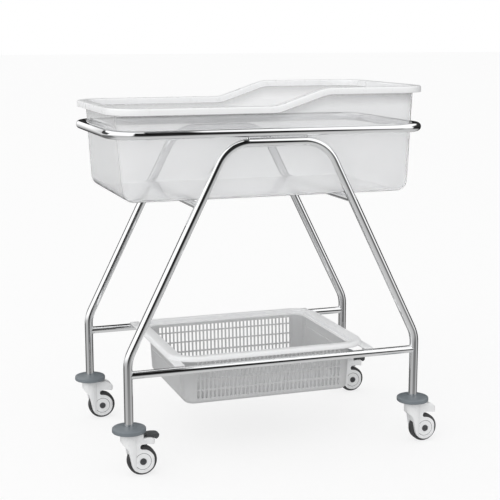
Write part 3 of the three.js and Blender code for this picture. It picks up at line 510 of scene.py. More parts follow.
def lathe(profile, sides):
    """A turned solid about the Z axis from (radius, z) points, closed where they meet the axis."""
    points, rows = [], []
    for radius, z in profile:
        if radius < 1e-6:
            rows.append([len(points)])
            points.append(Vector((0, 0, z)))
        else:
            rows.append(list(range(len(points), len(points) + sides)))
            points += [Vector((radius * math.cos(a), radius * math.sin(a), z))
                       for a in (side / sides * math.tau for side in range(sides))]
    faces = []
    pairs = list(zip(rows, rows[1:]))
    if len(rows[0]) > 1:
        pairs.append((rows[-1], rows[0]))
    for lower, upper in pairs:
        for side in range(sides):
            beside = (side + 1) % sides
            if len(lower) == 1:
                faces.append((lower[0], upper[beside], upper[side]))
            elif len(upper) == 1:
                faces.append((lower[side], lower[beside], upper[0]))
            else:
                faces.append((lower[side], lower[beside], upper[beside], upper[side]))
    return points, faces


def bezier(start, handle, end, t):
    return start * (1 - t) ** 2 + handle * 2 * t * (1 - t) + end * t ** 2


def rounded(profile, steps, largest_share=0.45):
    """A closed profile with rounded corners, from (x, y, corner size) values.

    No corner takes up more than the largest share of a side.
    """
    done = []
    count = len(profile)
    for index, (x, y, size) in enumerate(profile):
        corner = Vector((x, y))
        back = Vector(profile[index - 1][:2]) - corner
        forth = Vector(profile[(index + 1) % count][:2]) - corner
        size = min(size, back.length * largest_share, forth.length * largest_share)
        start, end = corner + back.normalized() * size, corner + forth.normalized() * size
        done += [bezier(start, corner, end, step / steps) for step in range(steps + 1)]
    return done


def moved(solid, shift=(0, 0, 0), turn=None):
    points, faces = solid
    turn = turn or Matrix.Identity(3)
    return [turn @ Vector(p) + Vector(shift) for p in points], faces


def box(low, high):
    points = [Vector((x, y, z)) for z in (low[2], high[2])
              for y in (low[1], high[1]) for x in (low[0], high[0])]
    faces = [(0, 2, 3, 1), (4, 5, 7, 6), (0, 1, 5, 4), (2, 6, 7, 3), (0, 4, 6, 2), (1, 3, 7, 5)]
    return points, faces


def plain_mesh(solid):
    mesh = bpy.data.meshes.new("scratch")
    mesh.from_pydata([Vector(p) * MM for p in solid[0]], [], solid[1])
    face_outwards(mesh)
    return mesh


def with_modifiers(mesh, *setups):
    """The mesh after modifiers, each given as (type, {setting: value})."""
    carrier = bpy.data.objects.new("scratch", mesh)
    bpy.context.scene.collection.objects.link(carrier)
    for kind, settings in setups:
        modifier = carrier.modifiers.new(kind.lower(), kind)
        for setting, value in settings.items():
            setattr(modifier, setting, value)
    bpy.context.view_layer.update()
    graph = bpy.context.evaluated_depsgraph_get()
    result = bpy.data.meshes.new_from_object(carrier.evaluated_get(graph))
    bpy.data.objects.remove(carrier)
    return result


def shaped(base, *steps):
    """A mesh after booleans, each given as (operation, other mesh)."""
    mesh = base
    for operation, other in steps:
        tool = bpy.data.objects.new("tool", other)
        bpy.context.scene.collection.objects.link(tool)
        settings = {"operation": operation, "object": tool, "solver": "EXACT"}
        mesh = with_modifiers(mesh, ("BOOLEAN", settings))
        bpy.data.objects.remove(tool)
    return mesh


def bevel(width, segments=3, angle=38):
    return ("BEVEL", {"width": width * MM, "segments": segments, "limit_method": "ANGLE",
                      "angle_limit": math.radians(angle), "harden_normals": False,
                      "use_clamp_overlap": True})


def merged(name, *meshes):
    whole = bmesh.new()
    for mesh in meshes:
        whole.from_mesh(mesh)
    result = bpy.data.meshes.new(name)
    whole.to_mesh(result)
    whole.free()
    return result


# Stand
def side_frame_path(y):
    corners = ((-LEG_X, LEG_FOOT_Z), (-LEG_X, LOWER_CORNER_Z), (-TOP_BAR_X, TOP_BAR_Z),
               (TOP_BAR_X, TOP_BAR_Z), (LEG_X, LOWER_CORNER_Z), (LEG_X, LEG_FOOT_Z))
    return bent([(x, y, z) for x, z in corners], LEG_BEND)


def ring_path():
    path = []
    for corner, (sx, sy) in enumerate(QUADRANTS):
        for step in range(RING_CORNER_STEPS + 1):
            a = (corner + step / RING_CORNER_STEPS) * math.pi / 2
            path.append((sx * (RING_X - RING_CORNER) + RING_CORNER * math.cos(a),
                         sy * (HALF_WIDTH - RING_CORNER) + RING_CORNER * math.sin(a), RING_Z))
    return path


def weld_loop(centre, along, leg_axis, radius):
    """A bead where a tube meets a leg: centre is where their axes cross."""
    along, leg_axis = Vector(along).normalized(), Vector(leg_axis).normalized()
    across = leg_axis.cross(along)
    loop = []
    for step in range(WELD_STEPS):
        a = step / WELD_STEPS * math.tau
        side, up = radius * math.cos(a), radius * math.sin(a)
        reach = math.sqrt(TUBE_RADIUS ** 2 - side ** 2)
        loop.append(Vector(centre) + across * side + leg_axis * up + along * reach)
    return sweep(loop, WELD_RADIUS, closed=True, sides=WELD_SIDES, ripple=WELD_RIPPLE)


def post():
    """The short spacer between a top bar and the ring, let into both."""
    low, high = TOP_BAR_Z + TUBE_RADIUS - POST_OVERLAP, RING_Z - TUBE_RADIUS + POST_OVERLAP
    wide, slim = POST_RADIUS, POST_RADIUS - POST_WAIST
    profile = [(0, low), (wide, low), (slim, low + POST_OVERLAP), (slim, high - POST_OVERLAP),
               (wide, high), (0, high)]
    return lathe(profile, TUBE_SIDES)


def make_tube(name, solid, stands_for):
    make(name, *solid, CHROME, "frame", "chrome_tube", [stands_for])


beads = []
for side_name, side in SIDES:
    y = side * HALF_WIDTH
    make_tube(f"{side_name}_frame_tube", sweep(side_frame_path(y), TUBE_RADIUS), f"{side_name}_side_frame")
    rail = straight((-LEG_X + RAIL_INSET, y, RAIL_Z), (LEG_X - RAIL_INSET, y, RAIL_Z))
    make_tube(f"{side_name}_rail_tube", sweep(rail, RAIL_RADIUS), f"{side_name}_lower_rail")
    for end_name, end in ENDS:
        place = f"{side_name}_{end_name}"
        make_tube(f"{place}_post", moved(post(), (end * POST_X, y, 0)), f"{place}_ring_post")
        beads.append(weld_loop((end * LEG_X, y, RAIL_Z), (-end, 0, 0), (0, 0, 1), RAIL_RADIUS))
        slant = (-end, 0, LEG_SLOPE)
        beads.append(weld_loop((end * CROSS_X, y, CROSS_Z), (0, -side, 0), slant, CROSS_RADIUS))
make_tube("ring_tube", sweep(ring_path(), TUBE_RADIUS, closed=True), "upper_ring")
for end_name, end in ENDS:
    x, y = end * CROSS_X, HALF_WIDTH - CROSS_INSET
    line = straight((x, -y, CROSS_Z), (x, y, CROSS_Z))
    make_tube(f"{end_name}_cross_rod", sweep(line, CROSS_RADIUS), f"{end_name}_cross_tube")
make("weld_beads", *joined(*beads), WELD, "frame", "chrome_tube")


# Tub
def rim_z(x):
    """Height of the rim's top line at x."""
    start, end = RIM_SLOPE
    rise = RIM_STEP / (end - start)
    if x <= start - RIM_BLEND:
        return RIM_LOW_Z
    if x < start + RIM_BLEND:
        return RIM_LOW_Z + rise * (x - start + RIM_BLEND) ** 2 / (4 * RIM_BLEND)
    if x <= end - RIM_BLEND:
        return RIM_LOW_Z + rise * (x - start)
    if x < end + RIM_BLEND:
        return RIM_LOW_Z + RIM_STEP - rise * (end + RIM_BLEND - x) ** 2 / (4 * RIM_BLEND)
    return RIM_LOW_Z + RIM_STEP


def outline(half_x, half_y, radius):
    """A rounded rectangle, counter-clockwise, with stops along its sides."""
    found = []
    sx, sy = half_x - radius, half_y - radius
    # The first and last stop of a side are its corners' own points
    side, end = SIDE_STOPS[1:-1], END_STOPS[1:-1]
    for corner, (ox, oy) in enumerate(QUADRANTS):
        for step in range(TUB_CORNER_STEPS + 1):
            a = (corner + step / TUB_CORNER_STEPS) * math.pi / 2
            found.append(Vector((ox * sx, oy * sy, 0)) + Vector((math.cos(a), math.sin(a), 0)) * radius)
        if corner == 0:
            found += [Vector((s * sx, half_y, 0)) for s in reversed(side)]
        elif corner == 1:
            found += [Vector((-half_x, s * sy, 0)) for s in reversed(end)]
        elif corner == 2:
            found += [Vector((s * sx, -half_y, 0)) for s in side]
        else:
            found += [Vector((half_x, s * sy, 0)) for s in end]
    return found


def tub_corner(z):
    growth = (TUB_CORNER_AT_RING - TUB_CORNER_AT_FLOOR) / (RING_Z - TUB_FLOOR_Z)
    return TUB_CORNER_AT_RING + (z - RING_Z) * growth


def tub_outline(z, inset):
    reach = (z - RING_Z) * TUB_DRAFT - inset
    return outline(TUB_X + reach, TUB_Y + reach, max(tub_corner(z) - inset, TUB_WALL))


RIM_TOPS = [rim_z(p.x) for p in tub_outline(RIM_LOW_Z, 0)]


def tub_side(offset, floor_z, fillet):
    """Rows of points of the tub's skin at an inward offset, from the floor to its edge under the rim."""
    rows = []
    for step in range(TUB_FILLET_STEPS + 1):
        a = step / TUB_FILLET_STEPS * math.pi / 2
        z = floor_z + fillet * (1 - math.cos(a))
        line = tub_outline(z, offset + fillet * (1 - math.sin(a)))
        rows.append([Vector((p.x, p.y, z)) for p in line])
    low = floor_z + fillet
    for step in range(1, TUB_WALL_STEPS + 1):
        heights = [low + (top - RIM_WALL - RIM_GAP - low) * step / TUB_WALL_STEPS for top in RIM_TOPS]
        lines = {z: tub_outline(z, offset) for z in heights}
        rows.append([Vector((lines[z][index].x, lines[z][index].y, z)) for index, z in enumerate(heights)])
    return rows


def inner_ring(row):
    middle = sum(row, Vector()) / len(row)
    return [middle + (p - middle) * TUB_FLOOR_SHARE for p in row]


def tub():
    outside = tub_side(0, TUB_FLOOR_Z, TUB_FILLET)
    inside = tub_side(TUB_WALL, TUB_FLOOR_Z + TUB_WALL, TUB_FILLET - TUB_WALL)
    return capped([inner_ring(outside[0])] + outside + inside[::-1] + [inner_ring(inside[0])])


def rim():
    """A channel over the tub's edge, with rounded edges, that follows the rim's top line."""
    half_x = TUB_X + (RIM_LOW_Z - RING_Z) * TUB_DRAFT + RIM_OVERHANG
    half_y = TUB_Y + (RIM_LOW_Z - RING_Z) * TUB_DRAFT + RIM_OVERHANG
    outer = outline(half_x, half_y, tub_corner(RIM_LOW_Z) + RIM_OVERHANG)
    inside = -(TUB_WALL + RIM_GAP)
    # Which edge of the rim a corner keeps to, how far past it, how far down, and its corner size
    section = [("in", inside - RIM_WALL, -RIM_LIP, RIM_EDGE), ("in", inside - RIM_WALL, 0, 4.5),
               ("out", 0, 0, 6), ("out", 0, -RIM_LIP, RIM_EDGE),
               ("out", -RIM_WALL, -RIM_LIP, RIM_EDGE), ("out", -RIM_WALL, -RIM_WALL, 3),
               ("in", inside, -RIM_WALL, 1), ("in", inside, -RIM_LIP, RIM_EDGE)]
    rows = []
    for index, top in enumerate(RIM_TOPS):
        wall = tub_outline(top, 0)[index]
        width = outer[index] - wall
        flat = [((offset + depth * TUB_DRAFT if edge == "in" else width.length + offset), depth, size)
                for edge, offset, depth, size in section]
        rows.append([wall + width.normalized() * p.x + Vector((0, 0, top + p.y))
                     for p in rounded(flat, RIM_ROUND_STEPS)])
    return points_of(rows), strips(rows, closed=True)


make("tub_body", *tub(), TUB, "tub", "tub_plastic", ["tub_shell"], SOFT_SMOOTH)
make("tub_rim_channel", *rim(), RIM, "tub", "white_plastic", ["tub_rim"], SOFT_SMOOTH)


# Basket
def basket_outline(half_x, half_y, radius, recess):
    """A rounded rectangle with stops at each slot's edges and at the edges of the end panels."""
    stops = []
    for column in range(SLOT_COLUMNS):
        x = (column - (SLOT_COLUMNS - 1) / 2) * SLOT_PITCH
        half = (SLOT_PITCH - SLOT_BAR) / 2
        stops += [x - half, x + half]
    fit_x = min(1, (half_x - radius - 2) / stops[-1])
    side = [x * fit_x for x in stops]
    fit_y = min(1, (half_y - radius - 1) / (PANEL_Y + PANEL_STEP))
    panel, edge = PANEL_Y * fit_y, (PANEL_Y + PANEL_STEP) * fit_y
    end = [(-edge, 0), (-panel, recess), (panel, recess), (edge, 0)]
    found = []
    for corner, (ox, oy) in enumerate(QUADRANTS):
        for step in range(BASKET_CORNER_STEPS + 1):
            a = (corner + step / BASKET_CORNER_STEPS) * math.pi / 2
            found.append((ox * (half_x - radius) + radius * math.cos(a),
                          oy * (half_y - radius) + radius * math.sin(a)))
        if corner == 0:
            found += [(x, half_y) for x in reversed(side)]
        elif corner == 1:
            found += [(-half_x - out, y) for y, out in reversed(end)]
        elif corner == 2:
            found += [(x, -half_y) for x in side]
        else:
            found += [(half_x + out, y) for y, out in end]
    return found


def basket_sheet():
    """The basket's upper and inner skin as one sheet, from the flange's lip to the floor."""
    top = BASKET_TOP_Z
    wall_x, wall_y = COLLAR_X - WALL_INSET, COLLAR_Y - WALL_INSET
    floor_z = top - BASKET_DEPTH + BASKET_WALL
    low_z = floor_z + FLOOR_FILLET
    low_corner = WALL_CORNER + WALL_CORNER_GROWTH
    rows, slotted = [], []

    def add(inset, z, half_x=BASKET_X, half_y=BASKET_Y, radius=FLANGE_CORNER, recess=0):
        line = basket_outline(half_x - inset, half_y - inset, radius - inset, recess)
        rows.append([Vector((x, y, z)) for x, y in line])

    def wall(depth, recess):
        share = (depth - WALL_START) / (top - low_z - WALL_START)
        corner = WALL_CORNER + WALL_CORNER_GROWTH * share
        add(WALL_TAPER * share, top - depth, wall_x, wall_y, corner, recess)

    lip_inset, lip_height = LIP_EDGE
    add(lip_inset, top - BASKET_LIP)
    for step in range(LIP_STEPS + 1):
        a = step / LIP_STEPS * math.pi / 2
        add(LIP_ROUND * (1 - math.cos(a)), top - (BASKET_LIP - lip_height) * (1 - math.sin(a)))
    add(FLANGE_FLAT, top)
    for inset, depth in COLLAR_ROWS:
        add(inset, top - depth, COLLAR_X, COLLAR_Y, COLLAR_CORNER)
    wall(WALL_START, 0)
    wall(PANEL_TOP[0], 0)
    wall(PANEL_TOP[1], PANEL_RECESS)
    # The end panels step in and out between the rows of slots
    panels = (PANEL_RECESS, PANEL_RECESS - BAND_RECESS, PANEL_RECESS, PANEL_RECESS)
    for (upper, lower), recess, after in zip(SLOT_ROWS, panels, panels[1:] + panels[-1:]):
        slotted.append(len(rows))
        wall(upper, recess)
        wall(lower, recess)
        if after != recess:
            wall(lower + BAND_STEP[0], recess)
            wall(lower + BAND_STEP[1], after)
    add(WALL_TAPER, low_z + PANEL_LOW, wall_x, wall_y, low_corner, PANEL_RECESS)
    add(WALL_TAPER, low_z, wall_x, wall_y, low_corner)
    for step in range(1, FLOOR_STEPS + 1):
        a = step / FLOOR_STEPS * math.pi / 2
        inset = WALL_TAPER + FLOOR_FILLET * (1 - math.cos(a))
        add(inset, low_z - FLOOR_FILLET * math.sin(a), wall_x, wall_y, low_corner)
    add(FLOOR_INSET, floor_z, wall_x, wall_y, FLOOR_CORNER)
    # A long side has two stops for each slot and starts after a corner, and an end has four stops
    corner = BASKET_CORNER_STEPS + 1
    starts = (corner, 3 * corner + 2 * SLOT_COLUMNS + 4)
    openings = {(row, start + 2 * column)
                for row in slotted for start in starts for column in range(SLOT_COLUMNS)}
    faces = strips(rows, openings=openings)
    count = len(rows[0])
    faces.append(tuple(range((len(rows) - 1) * count, len(rows) * count)))
    return points_of(rows), faces


def lugs():
    """Straps from the flange to the rails at the corners, each with a tab hanging from it."""
    solids = []
    for sx in (-1, 1):
        for sy in (-1, 1):
            (x0, x1), (z0, z1) = sorted(sx * x for x in LUG_X), LUG_Z
            strap = sorted(sy * y for y in LUG_STRAP_Y)
            tab = sorted(sy * y for y in LUG_TAB_Y)
            solids.append(box((x0, strap[0], z0), (x1, strap[1], z1)))
            solids.append(box((x0 + LUG_TAB_INSET, tab[0], z0 - LUG_TAB_DROP),
                              (x1 - LUG_TAB_INSET, tab[1], z1 - LUG_TAB_SINK)))
    return joined(*solids)


def basket():
    sheet = bpy.data.meshes.new("sheet")
    points, faces = basket_sheet()
    sheet.from_pydata([p * MM for p in points], [], faces)
    thicken = {"thickness": BASKET_WALL * MM, "offset": -1.0, "use_even_offset": True}
    solid = with_modifiers(sheet, ("SOLIDIFY", thicken), bevel(0.35, 2, 50))
    mesh = merged("basket_body", solid, with_modifiers(plain_mesh(lugs()), bevel(0.8, 3, 40)))
    mesh.transform(Matrix.Translation(CENTRE))
    return mesh


finish_piece("basket_body", basket(), BASKET, "basket", ["basket"])


# Casters
def curve(start, handle, end, steps=12):
    start, handle, end = Vector(start), Vector(handle), Vector(end)
    return [bezier(start, handle, end, k / steps) for k in range(1, steps + 1)]


def arc(centre, radius, start, end, steps):
    return [Vector(centre) + Vector((math.cos(a), math.sin(a))) * radius
            for a in (start + (end - start) * k / steps for k in range(steps + 1))]


def pushed_along_y(line, half):
    """A side outline in X and Z as a solid of that half width."""
    count = len(line)
    points = [Vector((p[0], y, p[1])) for y in (-half, half) for p in line]
    faces = [tuple(range(count)), tuple(reversed(range(count, 2 * count)))]
    faces += [(k, (k + 1) % count, count + (k + 1) % count, count + k) for k in range(count)]
    return points, faces


def pushed_along_z(line, low, high):
    count = len(line)
    points = [Vector((p[0], p[1], z)) for z in (low, high) for p in line]
    faces = [tuple(reversed(range(count))), tuple(range(count, 2 * count))]
    faces += [(k, (k + 1) % count, count + (k + 1) % count, count + k) for k in range(count)]
    return points, faces


def on_axle(profile, sides, sign=-1):
    """A turned solid about the wheel's axle, with its profile's heights along sign times Y."""
    turn = Matrix.Rotation(-sign * math.pi / 2, 3, "X")
    return moved(lathe(profile, sides), (AXLE_X, 0, AXLE_Z), turn)


def axle_disc(radius, half, inner=0):
    """A disc, or a flat ring, about the wheel's axle."""
    return on_axle([(inner, -half), (radius, -half), (radius, half), (inner, half)], DISC_SIDES)


def housing_side():
    throat = Vector(THROAT)
    away = throat - Vector((AXLE_X, AXLE_Z))
    tangent = math.atan2(away.y, away.x) + math.acos(PLATE_RADIUS / away.length)
    window = (HOOD_Z - AXLE_Z - PLATE_RADIUS) / 2
    line = [Vector((-COLLAR_RADIUS, COLLAR_TOP_Z)), Vector((-COLLAR_RADIUS, COLLAR_LOW_Z))]
    line += curve(line[-1], (-COLLAR_RADIUS + 3, COLLAR_LOW_Z - 10), throat)
    line += arc((AXLE_X, AXLE_Z), PLATE_RADIUS, tangent, math.pi * 2.5, 48)
    line += arc((AXLE_X, HOOD_Z - window), window, math.pi * 1.5, math.pi * 0.5, 14)[1:]
    line += curve(line[-1], (NOSE_X - 20, HOOD_Z + 2), (NOSE_X - 7, HOOD_Z - 2.5))
    line += curve(line[-1], (NOSE_X + 1, HOOD_Z - 1.5), (NOSE_X, HOOD_Z + 8.5))
    line += curve(line[-1], (NOSE_X - 4.5, HOOD_Z + 21), (NOSE_X - 24, HOOD_Z + 27.5))
    line += [Vector((COLLAR_RADIUS, COLLAR_TOP_Z - 0.5)), Vector((COLLAR_RADIUS - 0.5, COLLAR_TOP_Z))]
    return line


def round_nose(tip_x, half):
    """The rounded end of an outline in plan, from its near to its far side."""
    line = [Vector((tip_x - NOSE_ROUND, -half))]
    line += curve(line[-1], (tip_x, -half), (tip_x, 0), 8)
    line += curve(line[-1], (tip_x, half), (tip_x - NOSE_ROUND, half), 8)
    return line


def housing_plan():
    angle = math.asin(HOUSING_HALF / COLLAR_RADIUS)
    return arc((0, 0), COLLAR_RADIUS, angle, math.tau - angle, 48) + round_nose(NOSE_X, HOUSING_HALF)


def housing(braked):
    body = plain_mesh(pushed_along_y(housing_side(), COLLAR_RADIUS + 1))
    steps = [("INTERSECT", plain_mesh(pushed_along_z(housing_plan(), -5, 130))),
             ("DIFFERENCE", plain_mesh(axle_disc(WHEEL_RADIUS + WHEEL_WELL_GAP, SLOT_HALF)))]
    if braked:
        # Room for the pedal's leaf, and a slot for its arm
        back, front = (36.1, 105.8), (71.5, 99.8)
        above = [Vector(back)] + curve(back, (58, 111), front)
        above += [Vector((CLEAR_X, front[1])), Vector((CLEAR_X, CLEAR_Z)), Vector((back[0], CLEAR_Z))]
        steps.append(("DIFFERENCE", plain_mesh(pushed_along_y(above, CLEAR_HALF))))
        slot = box((20.5, -ARM_SLOT_HALF, 98.5), (CLEAR_X, ARM_SLOT_HALF, CLEAR_Z))
        steps.append(("DIFFERENCE", plain_mesh(slot)))
    mesh = with_modifiers(shaped(body, *steps), bevel(1.3))
    inner, outer = GROOVE_RADII
    for sign in (-1, 1):
        groove = moved(axle_disc(outer, GROOVE_DEPTH, inner), (0, sign * HOUSING_HALF, 0))
        mesh = shaped(mesh, ("DIFFERENCE", plain_mesh(groove)))
    return mesh


def pedal_leaf():
    line = [Vector((PEDAL_BACK_X, 107.6))]
    line += curve(line[-1], (59, 112), (71.5, 100.8))
    line += curve(line[-1], (80, 103.5), (PEDAL_TIP_X, 109.5))
    line += curve(line[-1], (PEDAL_TIP_X - 0.5, 114.5), (67, 115.8))
    line += curve(line[-1], (53, 117), (PEDAL_BACK_X, 113.6))
    body = plain_mesh(pushed_along_y(line, PEDAL_HALF + 1))
    plan = [Vector((PEDAL_BACK_X, -PEDAL_HALF))] + round_nose(PEDAL_TIP_X, PEDAL_HALF)
    plan.append(Vector((PEDAL_BACK_X, PEDAL_HALF)))
    body = shaped(body, ("INTERSECT", plain_mesh(pushed_along_z(plan, 60, CLEAR_Z))))
    return with_modifiers(body, bevel(1.6))


def pedal_arm():
    """The arm from the pivot to the leaf, and the shoe that presses on the tyre."""
    line = arc((PIVOT_X, PIVOT_Z), PIVOT_RADIUS, math.pi / 2, math.pi * 1.5, 16)
    line += [Vector(p) for p in ((38.5, 104.4), (45, 107.9), (45, 113.2), (38.5, 111.8))]
    arm = with_modifiers(plain_mesh(pushed_along_y(line, ARM_HALF)), bevel(0.8, 2))
    shoe = box((38.5, -SHOE_HALF, 82.9), (48.5, SHOE_HALF, 110))
    shoe = with_modifiers(plain_mesh(shoe), bevel(0.8, 2))
    return merged("pedal_arm", arm, shoe)


def tyre():
    half, r = TYRE_HALF, WHEEL_RADIUS
    edge = [(TYRE_INSIDE, -half, 0.8), (r - 3.5, -half, 2.5),
            (r - 0.2, -half + 3.4, 2.5), (r, -half + 6, 1)]
    profile = edge + [(radius, -along, size) for radius, along, size in reversed(edge)]
    return on_axle(rounded(profile, TYRE_ROUND_STEPS), WHEEL_SIDES)


def axle_cap(sign):
    """A domed cap with a sunk middle, and half of the axle behind it, pointing along sign times Y."""
    seat = HOUSING_HALF + CAP_GAP
    profile = [(0, 0), (4, 0), (4, seat), (9.4, seat), (9.4, seat + 1.2), (8.9, seat + 2),
               (7.6, seat + 2.6), (4.6, seat + 2.6), (4.1, seat + 1.7), (2.6, seat + 1.7),
               (2.2, seat + 2.2), (0, seat + 2.2)]
    return on_axle(profile, CAP_SIDES, sign)


def plate_ring(sign):
    """The grey ring let into the outer face of a side plate."""
    face = HOUSING_HALF - RING_SINK
    profile = [(22.1, face - 0.5), (22.1, face - 0.1), (22.4, face),
               (23.2, face), (23.5, face - 0.1), (23.5, face - 0.5)]
    return on_axle(profile, DISC_SIDES, sign)


def bumper():
    z = BUMPER_LOW_Z
    profile = [(6.4, z, 0.4), (24.5, z, 1.2), (25.5, z + 2.2, 3), (41, z + 4.6, 3), (46.5, z + 6.6, 4),
               (46.5, z + 17.6, 4), (40, z + 20, 4), (18, z + 23, 3), (12.7, z + 23.6, 0.8),
               (12.7, z + 9, 0.3), (6.4, z + 9, 0.3)]
    return lathe(rounded(profile, BUMPER_ROUND_STEPS), WHEEL_SIDES)


def placed(mesh, x, y):
    copy = mesh.copy()
    copy.transform(Matrix.Translation(Vector((x, y, 0)) * MM + CENTRE))
    return copy


HOUSINGS = {False: housing(False), True: housing(True)}
LEAF, ARM = pedal_leaf(), pedal_arm()
for side_name, side in SIDES:
    for end_name, end in ENDS:
        place = f"{side_name}_{end_name}"
        caster, wheel, pedal = f"{place}_caster", f"{place}_wheel", f"{place}_pedal"
        braked = place in BRAKED
        x, y = end * LEG_X, side * HALF_WIDTH
        shift = (x, y, 0)
        finish_piece(f"{place}_housing", placed(HOUSINGS[braked], x, y), WHITE, caster,
                     [f"{place}_caster_housing"])
        make(f"{place}_wheel_tyre", *moved(tyre(), shift), TYRE, wheel, "tyre_rubber", [f"{place}_tyre"])
        for part, sign in (("bolt", -1), ("nut", 1)):
            make(f"{place}_{part}_cap", *moved(axle_cap(sign), shift), DARK, caster, "dark_plastic",
                 [f"{place}_axle_{part}"], CAP_SMOOTH)
        make(f"{place}_plate_rings", *moved(joined(plate_ring(-1), plate_ring(1)), shift), GREY, caster,
             "dark_plastic")
        make(f"{place}_bumper_disc", *moved(bumper(), shift), BUMPER, "frame", "bumper_plastic",
             [f"{place}_bumper"], SOFT_SMOOTH)
        if braked:
            finish_piece(f"{place}_pedal_leaf", placed(LEAF, x, y), DARK, pedal,
                         [f"{place}_brake_pedal"])
            finish_piece(f"{place}_pedal_arm", placed(ARM, x, y), STEEL, pedal)

# Finishes of the solids that show as they are
CARRIED = {"leg_insert": DARK, "swivel_stem": STEEL, "wheel_hub": WHITE, "pedal_pin": STEEL}
for name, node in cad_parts.items():
    for ending, material in CARRIED.items():
        if name.endswith(ending):
            node.data.materials.clear()
            node.data.materials.append(material)


# Stage: floor, light and camera
def floor():
    """White where it is seen, under the object's shadow, and greyer in the light that it throws back."""
    mesh = bpy.data.meshes.new("floor")
    corners = [(x * FLOOR_HALF, y * FLOOR_HALF, 0) for x, y in ((-1, -1), (1, -1), (1, 1), (-1, 1))]
    mesh.from_pydata(corners, [], [(0, 1, 2, 3)])
    material, tree, shader = nodes_of("pale_floor", (1, 1, 1), 0.6)
    shader.inputs["Specular IOR Level"].default_value = 0.1
    rays = tree.nodes.new("ShaderNodeLightPath").outputs
    seen = math_node(tree, "ADD", rays["Is Camera Ray"], rays["Is Glossy Ray"], clamp=True)
    seen = math_node(tree, "ADD", seen, rays["Is Transmission Ray"], clamp=True)
    color = mix_colors(tree, "MIX", seen, FLOOR_BOUNCE, WHITE_LIGHT)
    tree.links.new(color, shader.inputs["Base Color"])
    glow = tree.nodes.new("ShaderNodeEmission")
    lifted = tree.nodes.new("ShaderNodeMixShader")
    tree.links.new(product(tree, seen, FLOOR_GLOW), lifted.inputs[0])
    tree.links.new(shader.outputs[0], lifted.inputs[1])
    tree.links.new(glow.outputs[0], lifted.inputs[2])
    tree.links.new(lifted.outputs[0], tree.nodes["Material Output"].inputs["Surface"])
    mesh.materials.append(material)
    ground = bpy.data.objects.new("floor", mesh)
    bpy.context.scene.collection.objects.link(ground)
    ground.visible_glossy = False


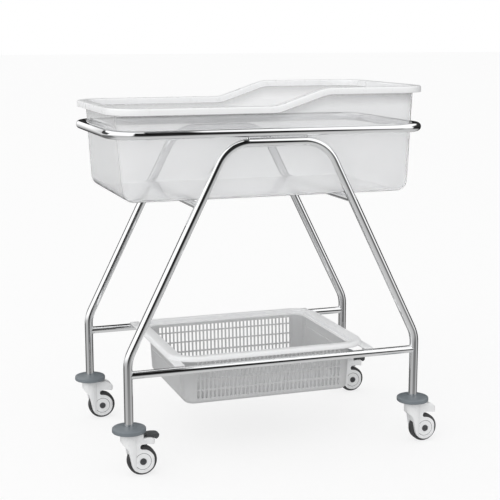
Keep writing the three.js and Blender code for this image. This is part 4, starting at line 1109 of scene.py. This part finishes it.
def mirrored_room(tree, x, y, z):
    """What metal mirrors: a room that is pale above and greyer below, with dark patches all round."""
    level = tree.nodes.new("ShaderNodeValToRGB")
    tree.links.new(math_node(tree, "MULTIPLY_ADD", z, 0.5, 0.5), level.inputs["Fac"])
    ramp = level.color_ramp
    while len(ramp.elements) < len(ROOM_LEVELS):
        ramp.elements.new(0.5)
    for element, (place, value) in zip(ramp.elements, ROOM_LEVELS):
        element.position = place
        element.color = (value, value, value, 1)
    # The turn goes from the far side, at 0, by way of the head end and the near side to the foot end
    azimuth = math_node(tree, "ARCTAN2", x, y)
    turn = math_node(tree, "MODULO", math_node(tree, "ADD", azimuth, math.tau), math.tau)
    lean = product(tree, math_node(tree, "MAXIMUM", z, 0.0), 0.14)
    edge = math_node(tree, "SUBTRACT", turn, lean)
    high = product(tree, slope(tree, edge, 2.64, 2.68), slope(tree, turn, 3.75, 3.6),
                   within(tree, z, -0.12, -0.03, 0.87, 0.9))
    low = product(tree, within(tree, turn, 2.3, 2.7, 3.5, 3.95), within(tree, z, -0.5, -0.1, -0.03, 0.0))
    front = math_node(tree, "MAXIMUM", high, low)
    right = product(tree, slope(tree, turn, 1.9, 1.7), within(tree, z, -0.45, -0.2, 0.35, 0.5))
    left = product(tree, slope(tree, turn, 4.75, 5.1), within(tree, z, -0.8, -0.5, -0.22, -0.12))
    gap = product(tree, within(tree, x, 0.1, 0.14, 0.255, 0.275), slope(tree, z, 0.3, 0.45))
    behind = math_node(tree, "SUBTRACT", math_node(tree, "ADD", y, 0.74), product(tree, x, 2.1))
    back = product(tree, slope(tree, behind, 0.0, 0.15), slope(tree, z, 0.0, 0.5),
                   slope(tree, x, 0.1, 0.14))
    aside = product(tree, within(tree, x, -0.86, -0.8, -0.08, 0.0), within(tree, y, 0.44, 0.5, 0.95, 0.98),
                    within(tree, z, -0.02, 0.03, 0.39, 0.43))
    light = level.outputs["Color"]
    patches = ((front, 0.98), (right, 0.97), (left, 0.7), (gap, 0.9), (back, 0.88), (aside, 0.95))
    for patch, depth in patches:
        light = product(tree, light, math_node(tree, "SUBTRACT", 1.0, product(tree, patch, depth)))
    return product(tree, light, ROOM_BRIGHTNESS)


def studio():
    """White to the camera, soft light, stronger from left and front, and a room for metal to mirror."""
    world = bpy.data.worlds.new("studio")
    bpy.context.scene.world = world
    world.use_nodes = True
    tree = world.node_tree
    x, y, z = coordinates(tree, "Generated")
    left = math_node(tree, "MAXIMUM", product(tree, x, -1.0), 0.0)
    front = math_node(tree, "MAXIMUM", product(tree, y, -1.0), 0.0)
    sides = math_node(tree, "ADD", product(tree, left, LEFT_LIGHT), product(tree, front, FRONT_LIGHT))
    soft = math_node(tree, "ADD", sides, SOFT_LIGHT)
    rays = tree.nodes.new("ShaderNodeLightPath").outputs
    direct = math_node(tree, "ADD", rays["Is Camera Ray"], rays["Is Transmission Ray"], clamp=True)
    light = choose(tree, rays["Is Glossy Ray"], soft, mirrored_room(tree, x, y, z))
    background = tree.nodes["Background"]
    tree.links.new(choose(tree, direct, light, 1.0), background.inputs["Strength"])
    background.inputs["Color"].default_value = WHITE_LIGHT


def key_light():
    lamp = bpy.data.lights.new("key", "SUN")
    lamp.energy = KEY_ENERGY
    lamp.angle = math.radians(KEY_SPREAD)
    light = bpy.data.objects.new("key", lamp)
    bpy.context.scene.collection.objects.link(light)
    light.rotation_euler = Vector(KEY_DIRECTION).to_track_quat("-Z", "Y").to_euler()
    light.visible_glossy = False


def camera():
    data = bpy.data.cameras.new("camera")
    data.sensor_width = SENSOR
    data.lens = FOCAL_PIXELS / IMAGE_PIXELS * SENSOR
    data.clip_end = CAMERA_REACH
    view = bpy.data.objects.new("camera", data)
    bpy.context.scene.collection.objects.link(view)
    view.location = Vector(CAMERA_PLACE) * MM + CENTRE
    view.rotation_euler = (math.radians(90 - CAMERA_PITCH), 0, math.radians(CAMERA_HEADING))
    bpy.context.scene.camera = view


floor()
studio()
key_light()
camera()
bpy.context.scene.view_settings.view_transform = "Standard"
